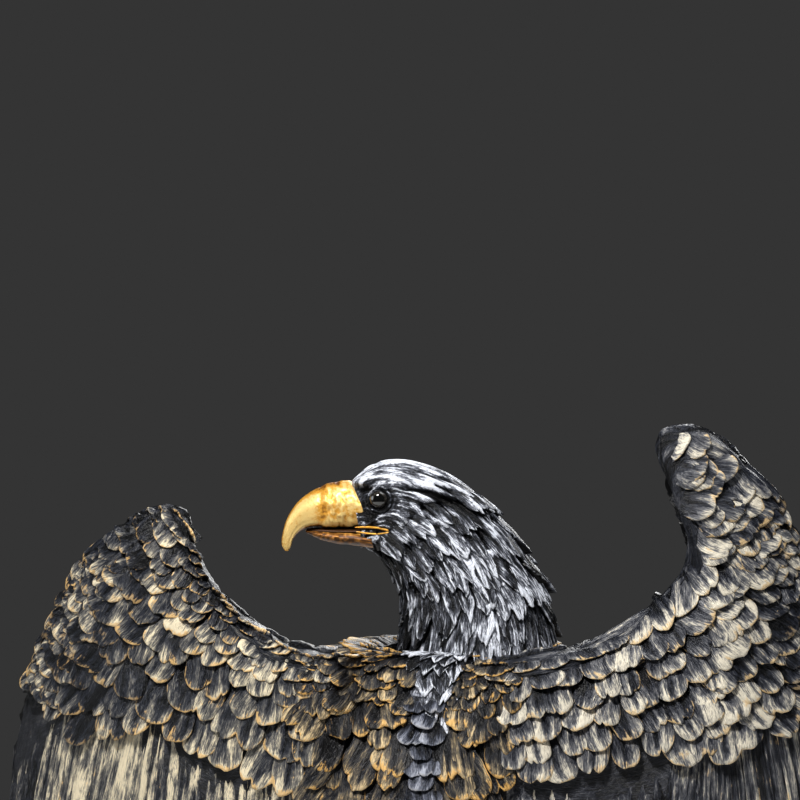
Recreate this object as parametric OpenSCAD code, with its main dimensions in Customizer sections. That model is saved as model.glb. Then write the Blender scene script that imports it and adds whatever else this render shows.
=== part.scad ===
// Eagle statuette: cast bronze bird with raised wings on a rock and a round stone plinth.
// Units are millimetres. The origin is the centre of the underside, +Z is up.
// The bird faces -Y and its own left side is +X. Its head is turned to its left.

/* [Overall] */
// Height from the table to the top of the right wing
overall_h = 330; // [264:1:396]
// Width across both wings
wing_span = 336; // [280:1:404]

/* [Base] */
// Plinth diameter
plinth_d = 156; // [140:1:188]
// Plinth height
plinth_h = 23; // [19:0.5:28]
// Rubber pad thickness
pad_t = 1.5; // [1:0.25:3]
// Rock height
rock_h = 50; // [42:1:60]
// Rock diameter where it stands on the plinth
rock_d = 118; // [100:1:136]
// Thickness of the metal under the feet
rock_roof = 12; // [9:0.5:16]

/* [Bird] */
// Torso width
body_w = 100; // [84:1:120]
// Torso depth, breast to back
body_d = 86; // [72:1:103]
// Wall thickness of the hollow castings
wall = 4; // [3:0.25:6]
// Head length, nape to beak tip, as a size for the whole head
head_l = 96; // [80:1:115]
// Distance of each leg from the middle
leg_x = 25; // [21:0.5:30]
// Tail width at its tips
tail_w = 76; // [63:1:91]

/* [Joints] */
// Half width of the middle of the back, where the wings seat
root_x = 30; // [27:0.5:34]
// Depth position of the wing seats
seat_y = 16; // [14:0.5:19]
// Wing tenon length
tenon_l = 11; // [9:0.5:13]
// Wing tenon height
tenon_h = 30; // [25:1:36]
// Dowel diameter
dowel_d = 4; // [3:0.25:5]
// Neck spigot diameter
neck_d = 26; // [22:0.5:30]
// Leg spigot diameter
leg_d = 11; // [9:0.5:13]
// Foot stud diameter
stud_d = 5; // [4:0.5:6]
// Plinth screw diameter
screw_d = 5; // [4:0.5:6]
// Clearance on each side of a fitted joint
fit = 0.15; // [0.1:0.05:0.3]

/* [Eyes] */
// Eye diameter
eye_d = 7.6; // [6.4:0.2:9]

/* [Hidden] */
$fn = 48;
seam = 0.02;                          // face gap between two seated castings
plinth_z = pad_t;
rock_z = plinth_z + plinth_h;
perch_z = rock_z + rock_h;
kz = (overall_h - perch_z) / 255.5;   // heights of the bird
kb = body_w / 100;                    // widths of the torso
kd = body_d / 86;                     // depths of the torso
kh = head_l / 96;                     // the head as a whole
kt = tail_w / 76;
kw = (wing_span / 2 - root_x) / 138;  // reach of the wings beyond their seats
neck_z = perch_z + 163 * kz;
tail_z = perch_z + 37 * kz;
thigh_z = perch_z + 17 * kz;
neck_x = -18;
neck_y = -6 * kd;
neck_turn = 8;
body_side = body_w / 2 + 3;
foot_y = -7;
cavity_r = rock_d / 2 - 15;
boss_r = cavity_r - 9;
boss_d = 14;
screw_angles = [30, 150, 270];
counterbore_d = 2.4 * screw_d;
counterbore_h = 9;
washer_t = 1;
screw_head_h = 3.2;
screw_bite = 12;
dowel_l = 20;
foot_bore = 13;
nut_h = 4;
nut_af = 1.6 * stud_d;
tenon_w = 10;
tenon_y = seat_y + 9;
tenon_z = perch_z + 122 * kz;
dowel_rise = tenon_h / 2 + 2.5 * dowel_d;
rib_rows = 7;
feathers = 13;
feather_dip = 2.6;

// Torso sections: height above the feet, centre x, centre y, half width, half depth
TORSO = [
    [37, 0, 24, 23, 17],
    [45, 0, 21, 30, 23],
    [60, 0, 15, 38, 30],
    [80, 0, 9, 44, 36],
    [103, 0, 4, 48, 41],
    [125, -1, 2, 50, 42],
    [143, -3, 0, 48, 38],
    [155, -8, -3, 43, 33],
    [163, -14, -5, 37, 28]
];

// Thigh sections, in the same order
THIGH = [
    [17, 0, -7, 9, 9.5],
    [25, 0, -7, 11.5, 12.5],
    [38, 0.5, -5, 15.5, 17],
    [55, -0.5, -1, 19, 21],
    [73, -2, 3, 21, 24],
    [90, -3, 6, 20, 22]
];

// Tail sections, in the same order
TAIL = [
    [37, 0, 26, 22, 8.5],
    [23, 0, 32, 25, 7.5],
    [7, 0, 40, 29, 6.2],
    [-9, 0, 49, 33, 4.8],
    [-21, 0, 57, 36, 3.6],
    [-29, 0, 62.5, 37, 2.6]
];

// Head sections: nape reach, nape height, throat reach, throat height, half width.
// Reach runs along the head towards the beak, height is above the neck joint.
HEAD = [
    [-31, 0, 28.5, 0, 29],
    [-29.5, 13, 26.5, 12, 27],
    [-26, 27, 26, 24.5, 24],
    [-19, 40.5, 29.5, 33.5, 21],
    [-10.5, 54, 34.5, 39, 18.8],
    [0.5, 66, 38.5, 42.5, 17.2],
    [13.5, 73.8, 40.5, 43.6, 16.2],
    [28, 77, 41.4, 44.2, 15.2],
    [38.5, 74.9, 41.8, 44.2, 13.2],
    [46.4, 68.6, 41.6, 44, 10.8]
];

// Upper beak sections: reach and height of the top, reach and height of the underside, half width
BEAK = [
    [46.4, 68.6, 43.14, 51.9, 10.2],
    [50.7, 68.4, 49.5, 51.5, 9.2],
    [56.5, 67.2, 55, 51.6, 8],
    [61.9, 64.4, 60.2, 51.7, 6.6],
    [66.6, 60.4, 63.6, 50.9, 5.1],
    [70.2, 54.6, 66.2, 49.1, 3.6],
    [71.9, 48.8, 67.9, 46.6, 2.3],
    [72.2, 44.9, 68.6, 44.2, 1.3],
    [71, 42.5, 69.6, 42.6, 0.5]
];

// Lower beak sections, in the same order
JAW = [
    [42.95, 50.9, 41.72, 44.6, 8.6],
    [50, 50.7, 50, 45.1, 7.3],
    [57, 50.7, 57, 46.7, 5.6],
    [61, 50.5, 61, 48.4, 3.6],
    [63.2, 50.2, 62.8, 49.4, 1.6]
];

// Wing ribs: leading edge x y z, trailing edge x y z, outward bow, backward bow, thickness.
// Distances outward are measured from the middle of the bird, heights from the feet.
LEFT_RIBS = [
    [30, 25, 170, 30, 34, 76, 0, 8, 25],
    [45, 24, 172.5, 46, 34, 60, 1, 9, 23],
    [60, 20, 180, 66, 30, 50, 2, 12, 17],
    [74, 16, 191, 87, 25, 43, 4, 14, 14],
    [84, 13, 206, 105, 18, 39, 6, 15, 13],
    [88, 11, 218.5, 121, 10, 37, 8, 16, 13],
    [96.5, 8, 223, 135, 1, 38, 10, 16, 12],
    [112, 2, 217.5, 147, -8, 41, 10, 15, 11],
    [128, -5, 201, 156, -15, 48, 9, 13, 10],
    [144, -13, 174, 162, -21, 60, 7, 10, 8],
    [158, -21, 145, 167, -25, 76, 4, 6, 6]
];

RIGHT_RIBS = [
    [30, 25, 168, 30, 34, 76, 0, 8, 25],
    [48, 23, 171.5, 45, 34, 60, 1, 9, 23],
    [64, 19, 176, 61, 32, 51, 3, 12, 17],
    [80, 15, 184.5, 76, 29, 45, 5, 14, 14],
    [93, 13, 196, 89, 25, 41, 8, 15, 13],
    [99, 13, 209, 101, 21, 39, 12, 15, 13],
    [98, 14, 222, 111, 17, 38, 17, 15, 13],
    [92, 15, 235, 120, 13, 37, 23, 15, 13],
    [87.5, 16, 246, 129, 9, 37, 27, 15, 12],
    [90.5, 15, 253.5, 137, 4, 38, 25, 15, 12],
    [101, 12, 255, 145, -1, 40, 20, 15, 12],
    [115, 7, 247.5, 152, -7, 44, 16, 14, 11],
    [129, 0, 228, 158, -13, 51, 12, 12, 10],
    [140, -8, 203, 163, -19, 62, 9, 10, 9],
    [151, -15, 173, 166, -23, 77, 6, 8, 7],
    [160, -21, 141, 168, -25, 95, 3, 5, 6]
];

// ---------------------------------------------------------------- helpers

// Smooth value of column c of table t at position s from 0 to 1
function smooth(t, s, c) =
    let (
        n = len(t) - 1,
        p = min(max(s, 0), 1) * n,
        i = min(floor(p), n - 1),
        f = p - i,
        a = t[max(i - 1, 0)][c],
        b = t[i][c],
        d = t[i + 1][c],
        e = t[min(i + 2, n)][c]
    )
    b + 0.5 * f * (d - a + f * (2 * a - 5 * b + 4 * d - e + f * (3 * (b - d) + e - a)));

// Closed tube through rings that all hold the same number of points
module loft(rings) {
    n = len(rings[0]);
    m = len(rings);
    points = [for (r = rings) for (p = r) p];
    sides = [for (i = [0 : m - 2]) for (j = [0 : n - 1]) for (h = [0, 1])
        let (a = i * n + j, b = i * n + (j + 1) % n)
        h == 0 ? [a, b + n, b] : [a, a + n, b + n]];
    ends = [[for (j = [0 : n - 1]) j], [for (j = [n - 1 : -1 : 0]) (m - 1) * n + j]];
    polyhedron(points, concat(sides, ends), convexity = 6);
}

// Level oval ring of n points. Its height drops by dip at the feather tips, three points to a feather.
function oval(cx, cy, cz, rx, ry, n, dip = 0, shift = 0) =
    [for (j = [0 : n - 1]) let (a = 360 * j / n)
        [cx + rx * cos(a), cy + ry * sin(a), cz - ((j + shift) % 3 == 0 ? dip : 0)]];

// Rings of a feathered level loft. Each row of feathers swells to its tips and steps back.
function rows(t, n, count, swell, sx, sy, sz) =
    [for (k = [0 : count - 1]) for (e = [0, 1])
        let (
            s = (k + (e == 0 ? 0 : 0.96)) / (count - 0.04),
            g = e == 0 ? swell : 0,
            edge = (k == 0 && e == 0) || (k == count - 1 && e == 1)
        )
        oval(smooth(t, s, 1) * sx, smooth(t, s, 2) * sy, perch_z + smooth(t, s, 0) * sz,
            smooth(t, s, 3) * sx + g, smooth(t, s, 4) * sy + g, n, edge ? 0 : feather_dip, k + e)];

// Section of the head or beak, standing in the head's own upright plane
function head_ring(t, s, n, g) =
    let (
        a = smooth(t, s, 0) * kh,
        b = smooth(t, s, 1) * kh,
        c = smooth(t, s, 2) * kh,
        d = smooth(t, s, 3) * kh,
        w = smooth(t, s, 4) * kh + g,
        l = norm([a - c, b - d]),
        r = l / 2 + g
    )
    [for (j = [0 : n - 1])
        let (q = 360 * j / n, u = r * cos(q) / l)
        [(a + c) / 2 + u * (c - a), w * sin(q), (b + d) / 2 + u * (d - b)]];

module head_frame() {
    translate([neck_x, neck_y, neck_z]) rotate([0, 0, neck_turn]) children();
}

module at_screws() {
    for (a = screw_angles) rotate([0, 0, a]) translate([boss_r, 0, 0]) children();
}

module at_feet() {
    for (s = [-1, 1]) translate([s * leg_x, foot_y, perch_z]) children();
}

// ---------------------------------------------------------------- wings

// Point of the wing's middle surface at s along the wing and t from leading to trailing edge
function wing_mid(t, s, v) =
    let (
        l = [smooth(t, s, 0), smooth(t, s, 1), smooth(t, s, 2)],
        e = [smooth(t, s, 3), smooth(t, s, 4), smooth(t, s, 5)],
        c = l + (e - l) * 0.4 + [smooth(t, s, 6), smooth(t, s, 7), 0],
        p = l * (1 - v) * (1 - v) + c * 2 * v * (1 - v) + e * v * v
    )
    [root_x + (p[0] - 30) * kw, seat_y + (p[1] - 16) * kd, perch_z + p[2] * kz];

// Half thickness of the wing at s, t
function wing_half(t, s, v) =
    let (h = smooth(t, s, 8) / 2)
    v < 0.07 ? h * sqrt(1 - pow(1 - v / 0.07, 2)) : h + (1.6 - h) * pow((v - 0.07) / 0.93, 0.8);

// Chordwise start of feather row k, with the scallops of the feather tips
function row_start(k, s) =
    k == 0 ? 0 : (k == rib_rows ? 0.975 : [0, 0.09, 0.18, 0.28, 0.39, 0.51, 0.64][k])
        + 0.022 * abs(sin(180 * (s * feathers + k / 2)));

module wing_sheet(t) {
    m = 2 * rib_rows;
    n = 4 * feathers;
    back = [for (i = [0 : n]) for (j = [0 : m])
        let (
            s = i / n,
            k = ceil(j / 2),
            v = j == 0 ? 0 : row_start(k, s) - (j % 2 == 0 ? 0.008 : 0) - (j == m ? 0 : 0),
            w = j == 0 ? 0 : (j % 2 == 0 ? row_start(j / 2, s) : row_start((j - 1) / 2, s) + 0.008),
            swell = j == 0 ? 0 : (j % 2 == 0 ? 1.5 : 0),
            p = wing_mid(t, s, w)
        )
        p + [0, wing_half(t, s, w) + swell, 0]];
    front = [for (i = [0 : n]) for (j = [0 : m])
        let (s = i / n, w = j == 0 ? 0 : (j % 2 == 0 ? row_start(j / 2, s) : row_start((j - 1) / 2, s) + 0.008))
        wing_mid(t, s, w) - [0, wing_half(t, s, w), 0]];
    off = (n + 1) * (m + 1);
    quads = concat(
        [for (i = [0 : n - 1]) for (j = [0 : m - 1])
            let (a = i * (m + 1) + j) [a, a + 1, a + m + 2, a + m + 1]],
        [for (i = [0 : n - 1]) for (j = [0 : m - 1])
            let (
                a = j == 0 ? i * (m + 1) : off + i * (m + 1) + j,
                d = j == 0 ? (i + 1) * (m + 1) : off + (i + 1) * (m + 1) + j,
                b = off + i * (m + 1) + j + 1
            )
            [d, b + m + 1, b, a]],
        [for (i = [0 : n - 1]) let (a = i * (m + 1) + m) [a, off + a, off + a + m + 1, a + m + 1]],
        [for (j = [1 : m - 1]) [off + j, off + j + 1, j + 1, j]],
        [for (j = [1 : m - 1]) let (a = n * (m + 1) + j) [a, a + 1, off + a + 1, off + a]]
    );
    tips = [[0, off + 1, 1], [n * (m + 1), n * (m + 1) + 1, off + n * (m + 1) + 1]];
    faces = concat(tips, [for (q = quads) for (h = [0, 1]) h == 0 ? [q[0], q[1], q[2]] : [q[0], q[2], q[3]]]);
    polyhedron(concat(back, front), faces, convexity = 10);
}

// Wing on the +X side with its tenon and dowel bores
module wing(t) {
    difference() {
        union() {
            difference() {
                wing_sheet(t);
                translate([-50, -60, perch_z]) cube([50 + root_x + seam, 160, 300 * kz]);
                translate([0, -80, perch_z]) cube([body_side, 80 + seat_y + seam, 300 * kz]);
            }
            translate([root_x - tenon_l, tenon_y - tenon_w / 2, tenon_z - tenon_h / 2])
                cube([tenon_l + 4, tenon_w, tenon_h]);
        }
        wing_dowels(fit);
    }
}

module wing_dowels(g) {
    for (s = [-1, 1]) translate([root_x - dowel_l / 2 - g, tenon_y, tenon_z + s * dowel_rise])
        rotate([0, 90, 0]) cylinder(h = dowel_l + 2 * g, d = dowel_d + 2 * g, $fn = 24);
}

// What the body gives up for one wing
module wing_seat() {
    translate([root_x, seat_y, perch_z]) cube([80, 80, 300 * kz]);
    translate([root_x - tenon_l - 1, tenon_y - tenon_w / 2 - fit, tenon_z - tenon_h / 2 - fit])
        cube([tenon_l + 2, tenon_w + 2 * fit, tenon_h + 2 * fit]);
    wing_dowels(fit);
}

// ---------------------------------------------------------------- sub-parts

module base_pad() {
    color("Black") difference() {
        cylinder(h = pad_t, d = plinth_d - 8);
        at_screws() translate([0, 0, -1]) cylinder(h = pad_t + 2, d = counterbore_d);
    }
}

module plinth() {
    r = plinth_d / 2;
    h = plinth_h;
    color("DimGray") translate([0, 0, plinth_z]) difference() {
        rotate_extrude($fn = 96) polygon([[0, 0], [r - 1, 0], [r, 1], [r, h * 0.34], [r - 2, h * 0.42],
            [r - 3, h * 0.5], [r - 3.4, h * 0.62], [r - 5, h * 0.76], [r - 8.5, h * 0.86], [r - 9, h * 0.9],
            [r - 9, h - 0.6], [r - 9.6, h], [0, h]]);
        at_screws() translate([0, 0, -1]) {
            cylinder(h = h + 2, d = screw_d + 0.6);
            cylinder(h = 1 + counterbore_h, d = counterbore_d);
        }
    }
}

module plinth_screws() {
    top = plinth_z + counterbore_h - washer_t;
    color("Silver") at_screws() {
        translate([0, 0, top - screw_head_h]) cylinder(h = screw_head_h, d = 1.8 * screw_d, $fn = 24);
        cylinder_up(top - 0.2, rock_z + screw_bite, screw_d);
    }
}

module cylinder_up(z0, z1, d) {
    translate([0, 0, z0]) cylinder(h = z1 - z0, d = d, $fn = 24);
}

module plinth_washers() {
    z = plinth_z + counterbore_h - washer_t;
    color("Silver") at_screws() difference() {
        cylinder_up(z, z + washer_t, 2.1 * screw_d);
        cylinder_up(z - 1, z + washer_t + 1, screw_d + 0.4);
    }
}

// Rock outline: ring k of the craggy side
function crag(k, n) =
    let (
        z = [0, 0.1, 0.27, 0.46, 0.62, 0.8, 0.93, 1][k],
        r = [0.98, 1, 0.93, 0.9, 0.8, 0.76, 0.72, 0.69][k] * rock_d / 2
    )
    [for (j = [0 : n - 1])
        let (
            a = 360 * j / n,
            q = r * (1 + 0.05 * sin(3 * a + 47 * k) + 0.045 * sin(7 * a + 101 * k)
                + 0.03 * sin(13 * a + 61 * k)) - 1.5,
            dz = k == 0 || k == 7 ? 0 : 1.6 * sin(5 * a + 83 * k)
        )
        [q * cos(a), q * sin(a) * 0.94 - 2 * z, rock_z + z * rock_h + dz]];

module rock() {
    roof = perch_z - rock_roof;
    color("SaddleBrown") difference() {
        loft([for (k = [0 : 7]) crag(k, 36)]);
        difference() {
            translate([0, 0, rock_z - 1])
                cylinder(h = roof - rock_z + 1, r1 = cavity_r, r2 = cavity_r * 0.72);
            at_screws() cylinder_up(rock_z - 2, perch_z, boss_d);
        }
        at_screws() cylinder_up(rock_z - 2, rock_z + screw_bite + 3, screw_d + 0.2);
        at_feet() {
            cylinder_up(-rock_roof - 1, 1, stud_d + 0.5);
            cylinder_up(-rock_roof - 26, -rock_roof, 2.1 * stud_d + 0.8);
        }
    }
}

module foot_studs() {
    color("Silver") at_feet() cylinder_up(-rock_roof - washer_t - nut_h - 1.5, foot_bore - 0.5, stud_d);
}

module foot_washers() {
    color("Silver") at_feet() difference() {
        cylinder_up(-rock_roof - washer_t, -rock_roof, 2.1 * stud_d);
        cylinder_up(-rock_roof - washer_t - 1, -rock_roof + 1, stud_d + 0.4);
    }
}

module foot_nuts() {
    z = -rock_roof - washer_t - nut_h;
    color("Silver") at_feet() difference() {
        translate([0, 0, z]) cylinder(h = nut_h, d = nut_af / cos(30), $fn = 6);
        cylinder_up(z - 1, z + nut_h + 1, stud_d + 0.2);
    }
}

// One toe with its talon, running along +X from the ankle
module toe(l) {
    path = [[-3, 9, 5], [0.25 * l, 7.6, 5.4], [0.48 * l, 5.4, 4.6], [0.68 * l, 5, 4.7], [0.8 * l, 6, 3.4],
        [0.93 * l, 6.2, 2.2], [1.03 * l, 4, 1.3], [1.07 * l, 1.2, 0.5]];
    rings = [for (i = [0 : 14])
        let (s = i / 14, x = smooth(path, s, 0), z = smooth(path, s, 1), r = smooth(path, s, 2),
            d = smooth(path, s + 0.04, 0) - smooth(path, s - 0.04, 0),
            e = smooth(path, s + 0.04, 1) - smooth(path, s - 0.04, 1), q = norm([d, e]))
        [for (j = [0 : 11]) let (a = 30 * j)
            [x - r * cos(a) * e / q, -r * sin(a), z + r * cos(a) * d / q]]];
    loft(rings);
}

module foot() {
    translate([0, foot_y, perch_z]) difference() {
        union() {
            for (a = [-122, -90, -58]) rotate([0, 0, a]) toe(a == -90 ? 30 : 27);
            rotate([0, 0, 90]) toe(19);
            translate([0, 0, seam]) cylinder(h = 8, r1 = 8.5, r2 = 7);
            cylinder_up(4, thigh_z - perch_z, leg_d + 2.5);
            cylinder_up(6, thigh_z - perch_z + 15, leg_d);
        }
        cylinder_up(-1, foot_bore, stud_d + 0.2);
        translate([0, 0, -20]) cube([160, 160, 40 + 2 * seam], center = true);
    }
}

module left_foot() {
    color("Goldenrod") translate([leg_x, 0, 0]) foot();
}

module right_foot() {
    color("Goldenrod") translate([-leg_x, 0, 0]) mirror([1, 0, 0]) foot();
}

// Inside of the torso casting, closed off from the wing joints
module body_core() {
    rings = [for (i = [0 : 8])
        let (
            s = 0.2 + 0.68 * i / 8,
            y0 = (smooth(TORSO, s, 2) - smooth(TORSO, s, 4)) * kd + wall,
            y1 = min(seat_y + 2, (smooth(TORSO, s, 2) + smooth(TORSO, s, 4)) * kd - wall - 2)
        )
        oval(smooth(TORSO, s, 1) * kb, (y0 + y1) / 2, perch_z + smooth(TORSO, s, 0) * kz,
            smooth(TORSO, s, 3) * kb - wall - 1, (y1 - y0) / 2, 32)];
    loft(rings);
}

module body() {
    color("Peru") difference() {
        union() {
            loft(rows(TORSO, 60, 11, 1.3, kb, kd, kz));
            for (s = [-1, 1]) translate([s * leg_x, 0, 0]) mirror([s < 0 ? 1 : 0, 0, 0])
                loft([for (i = [0 : 10]) let (q = i / 10)
                    oval(smooth(THIGH, q, 1), smooth(THIGH, q, 2), perch_z + smooth(THIGH, q, 0) * kz,
                        smooth(THIGH, q, 3), smooth(THIGH, q, 4), 28)]);
        }
        body_core();
        head_frame() {
            translate([0, 0, -30]) cylinder(h = 40, d = neck_d + 2 * fit);
        }
        neck_pin(fit);
        wing_seat();
        mirror([1, 0, 0]) wing_seat();
        for (s = [-1, 1]) translate([s * leg_x, foot_y, 0])
            cylinder_up(thigh_z - 2, thigh_z + 15.5, leg_d + 2 * fit);
        tail_tenon(fit);
        tail_pins(fit);
    }
}

module neck_pin(g) {
    head_frame() translate([0, 0, -dowel_l / 2 - g]) translate([-(neck_d / 2 + dowel_d), 0, 0])
        cylinder(h = dowel_l + 2 * g, d = dowel_d + 2 * g, $fn = 24);
}

module tail_tenon(g) {
    translate([-8 - g, 26 * kd - 4 - g, tail_z - 3]) cube([16 + 2 * g, 8 + 2 * g, 13 + g]);
}

module tail_pins(g) {
    for (s = [-1, 1]) translate([s * (8 + 1.4 * dowel_d), 26 * kd, tail_z - 8 - g])
        cylinder(h = 16 + 2 * g, d = dowel_d + 2 * g, $fn = 24);
}

module tail_dowels() {
    color("Silver") tail_pins(0);
}

// Tail ring with the ridges of its feathers and a fanned lower end
function tail_ring(s, n) =
    let (
        z = smooth(TAIL, s, 0) * kz,
        cy = smooth(TAIL, s, 2) * kd,
        rx = smooth(TAIL, s, 3) * (1 + (kt - 1) * s),
        ry = smooth(TAIL, s, 4)
    )
    [for (j = [0 : n - 1])
        let (
            a = 360 * j / n,
            c = cos(a),
            w = s * s * (7 * c * c - 2.5 * abs(sin(360 * 1.5 * c * 2)))
        )
        [rx * c, cy + ry * sign(sin(a)) * pow(abs(sin(a)), 0.7) + (j % 2 == 0 ? 0.5 * s : 0), perch_z + z + w]];

module tail() {
    color("Peru") difference() {
        union() {
            translate([0, 0, -seam]) loft([for (i = [12 : -1 : 0]) tail_ring(i / 12, 52)]);
            intersection() {
                tail_tenon(0);
                cylinder_up(tail_z - 6, tail_z + 9.8, 200);
            }
        }
        tail_pins(fit);
    }
}

module neck_dowel() {
    color("Silver") neck_pin(0);
}

module eye_at(s, g) {
    translate([35.5 * kh, s * 11.6 * kh, 63 * kh]) sphere(d = eye_d + 2 * g, $fn = 32);
}

// Tenons of the two beak castings
module beak_tenons(g) {
    translate([38 * kh - g, -3 * kh - g, 55 * kh - g]) cube([10 * kh + g, 6 * kh + 2 * g, 8 * kh + 2 * g]);
}

module jaw_tenon(g) {
    translate([40 * kh - g, -2.5 * kh - g, 45.6 * kh - g]) cube([8 * kh + g, 5 * kh + 2 * g, 3 * kh + 2 * g]);
}

module head() {
    color("DimGray") difference() {
        union() {
            head_frame() loft([for (i = [0 : 27]) head_ring(HEAD, i / 27, 40, 0.6 * (1 - i / 27) * (i % 3))]);
            head_frame() translate([0, 0, -11]) cylinder(h = 13, d = neck_d);
        }
        head_frame() {
            translate([0, 0, -50 + seam]) difference() {
                cylinder(h = 50, r = 80);
                translate([0, 0, -1]) cylinder(h = 60, d = neck_d);
            }
            for (s = [-1, 1]) eye_at(s, fit);
            beak_tenons(fit);
            jaw_tenon(fit);
            loft([for (i = [0 : 10]) head_ring(HEAD, 0.03 + 0.52 * i / 10, 28, -wall - 3)]);
            translate([0, 0, -20]) cylinder(h = 30, d = neck_d - 2 * wall);
        }
        neck_pin(fit);
        for (s = [-1, 1]) translate([s > 0 ? root_x - 0.3 : -root_x + 0.3 - 80, seat_y - 0.3, perch_z])
            cube([80, 80, 176 * kz]);
    }
}

module beak_upper() {
    color("Gold") head_frame() {
        translate([seam, 0, 0]) loft([for (i = [0 : 21]) head_ring(BEAK, i / 21, 24, 0)]);
        beak_tenons(0);
    }
}

module beak_lower() {
    color("Orange") head_frame() {
        translate([seam, 0, 0]) loft([for (i = [0 : 9]) head_ring(JAW, i / 9, 24, 0)]);
        jaw_tenon(0);
    }
}

module left_eye() {
    color("Black") head_frame() eye_at(1, 0);
}

module right_eye() {
    color("Black") head_frame() eye_at(-1, 0);
}

module left_wing() {
    color("Peru") wing(LEFT_RIBS);
}

module right_wing() {
    color("Peru") mirror([1, 0, 0]) wing(RIGHT_RIBS);
}

module left_wing_dowels() {
    color("Silver") wing_dowels(0);
}

module right_wing_dowels() {
    color("Silver") mirror([1, 0, 0]) wing_dowels(0);
}

base_pad();
plinth();
plinth_screws();
plinth_washers();
rock();
foot_studs();
foot_washers();
foot_nuts();
left_foot();
right_foot();
body();
tail();
tail_dowels();
head();
neck_dowel();
beak_upper();
beak_lower();
left_eye();
right_eye();
left_wing();
right_wing();
left_wing_dowels();
right_wing_dowels();
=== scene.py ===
"""Looks of the eagle statuette: feathers, patina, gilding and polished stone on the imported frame.

Lengths are in millimetres until a mesh is made. The frame is in metres.
"""

import math

import bpy
import numpy as np
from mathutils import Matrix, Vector
from mathutils.bvhtree import BVHTree


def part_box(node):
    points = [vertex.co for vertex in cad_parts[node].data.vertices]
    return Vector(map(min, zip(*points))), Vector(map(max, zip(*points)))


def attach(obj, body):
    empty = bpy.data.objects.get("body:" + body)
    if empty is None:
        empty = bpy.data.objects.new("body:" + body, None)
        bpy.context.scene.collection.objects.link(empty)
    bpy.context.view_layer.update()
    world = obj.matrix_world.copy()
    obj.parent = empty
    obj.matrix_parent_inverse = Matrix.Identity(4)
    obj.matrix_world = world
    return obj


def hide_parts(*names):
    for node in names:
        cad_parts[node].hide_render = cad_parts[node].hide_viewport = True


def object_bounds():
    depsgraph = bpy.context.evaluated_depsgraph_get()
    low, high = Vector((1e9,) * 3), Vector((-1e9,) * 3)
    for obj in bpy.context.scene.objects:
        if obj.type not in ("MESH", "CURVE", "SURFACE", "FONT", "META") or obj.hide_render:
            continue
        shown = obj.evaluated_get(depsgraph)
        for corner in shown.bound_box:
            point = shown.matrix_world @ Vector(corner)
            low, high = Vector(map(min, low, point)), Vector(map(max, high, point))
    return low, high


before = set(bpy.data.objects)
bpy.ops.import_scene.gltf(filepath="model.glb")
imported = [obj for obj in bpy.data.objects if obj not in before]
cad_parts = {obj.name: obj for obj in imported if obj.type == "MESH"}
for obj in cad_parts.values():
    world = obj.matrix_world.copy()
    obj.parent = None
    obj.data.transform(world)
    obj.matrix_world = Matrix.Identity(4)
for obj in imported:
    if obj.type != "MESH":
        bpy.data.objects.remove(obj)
CAD_LO, CAD_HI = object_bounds()
rng = np.random.default_rng(11)


# ------------------------------------------------------------------ places taken from the frame


def span(node):
    lo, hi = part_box(node)
    return np.array(lo) * 1000, np.array(hi) * 1000


def middle(node):
    lo, hi = span(node)
    return (lo + hi) / 2


# Heights and reaches of the design, in its own units: the frame's real ones over these give the scales.
NECK_UP, EYE_UP, EYE_AHEAD = 163, 63, 35.5
DESIGN_ROOT, DESIGN_SEAT, DESIGN_TAIL = 30, 16, 26
SEAT_AHEAD = 9  # the wing seat lies this far in front of its dowels

ROOT_X = middle("left_wing_dowels")[0]
SEAT_Y = middle("left_wing_dowels")[1] - SEAT_AHEAD
PERCH = span("rock")[1][2]
ROCK_Z = span("rock")[0][2]
NECK_Z = middle("neck_dowel")[2]
KZ = (NECK_Z - PERCH) / NECK_UP
KD = middle("tail_dowels")[1] / DESIGN_TAIL
KB = (span("body")[1][0] - span("body")[0][0] - 2.6) / 100
LEG_X = middle("left_foot")[0]
EYES = (middle("left_eye") + middle("right_eye")) / 2
KH = (EYES[2] - NECK_Z) / EYE_UP
ACROSS = middle("left_eye") - middle("right_eye")
ACROSS = ACROSS / np.linalg.norm(ACROSS)
AHEAD = np.array([ACROSS[1], -ACROSS[0], 0.0])
NECK = EYES - AHEAD * EYE_AHEAD * KH - np.array([0, 0, EYE_UP * KH])

# ------------------------------------------------------------------ shapes shared with the frame

TORSO = [
    [37, 0, 24, 23, 17],
    [45, 0, 21, 30, 23],
    [60, 0, 15, 38, 30],
    [80, 0, 9, 44, 36],
    [103, 0, 4, 48, 41],
    [125, -1, 2, 50, 42],
    [143, -3, 0, 48, 38],
    [155, -8, -3, 43, 33],
    [163, -14, -5, 37, 28],
]
COLLAR = [
    [142, -5, -2, 50, 38],
    [153, -6, -3.5, 49.5, 36],
    [161, -7, -4.5, 48.5, 33.5],
    [166, -8, -5.5, 46, 31],
    [168.6, -10, -6, 41, 29],
    [169, -15, -6, 31, 27],
]
THIGH = [
    [17, 0, -7, 9, 9.5],
    [25, 0, -7, 11.5, 12.5],
    [38, 0.5, -5, 15.5, 17],
    [55, -0.5, -1, 19, 21],
    [73, -2, 3, 21, 24],
    [90, -3, 6, 20, 22],
]
TAIL = [
    [37, 0, 26, 22, 8.5],
    [23, 0, 32, 25, 7.5],
    [7, 0, 40, 29, 6.2],
    [-9, 0, 49, 33, 4.8],
    [-21, 0, 57, 36, 3.6],
    [-29, 0, 62.5, 37, 2.6],
]
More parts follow.
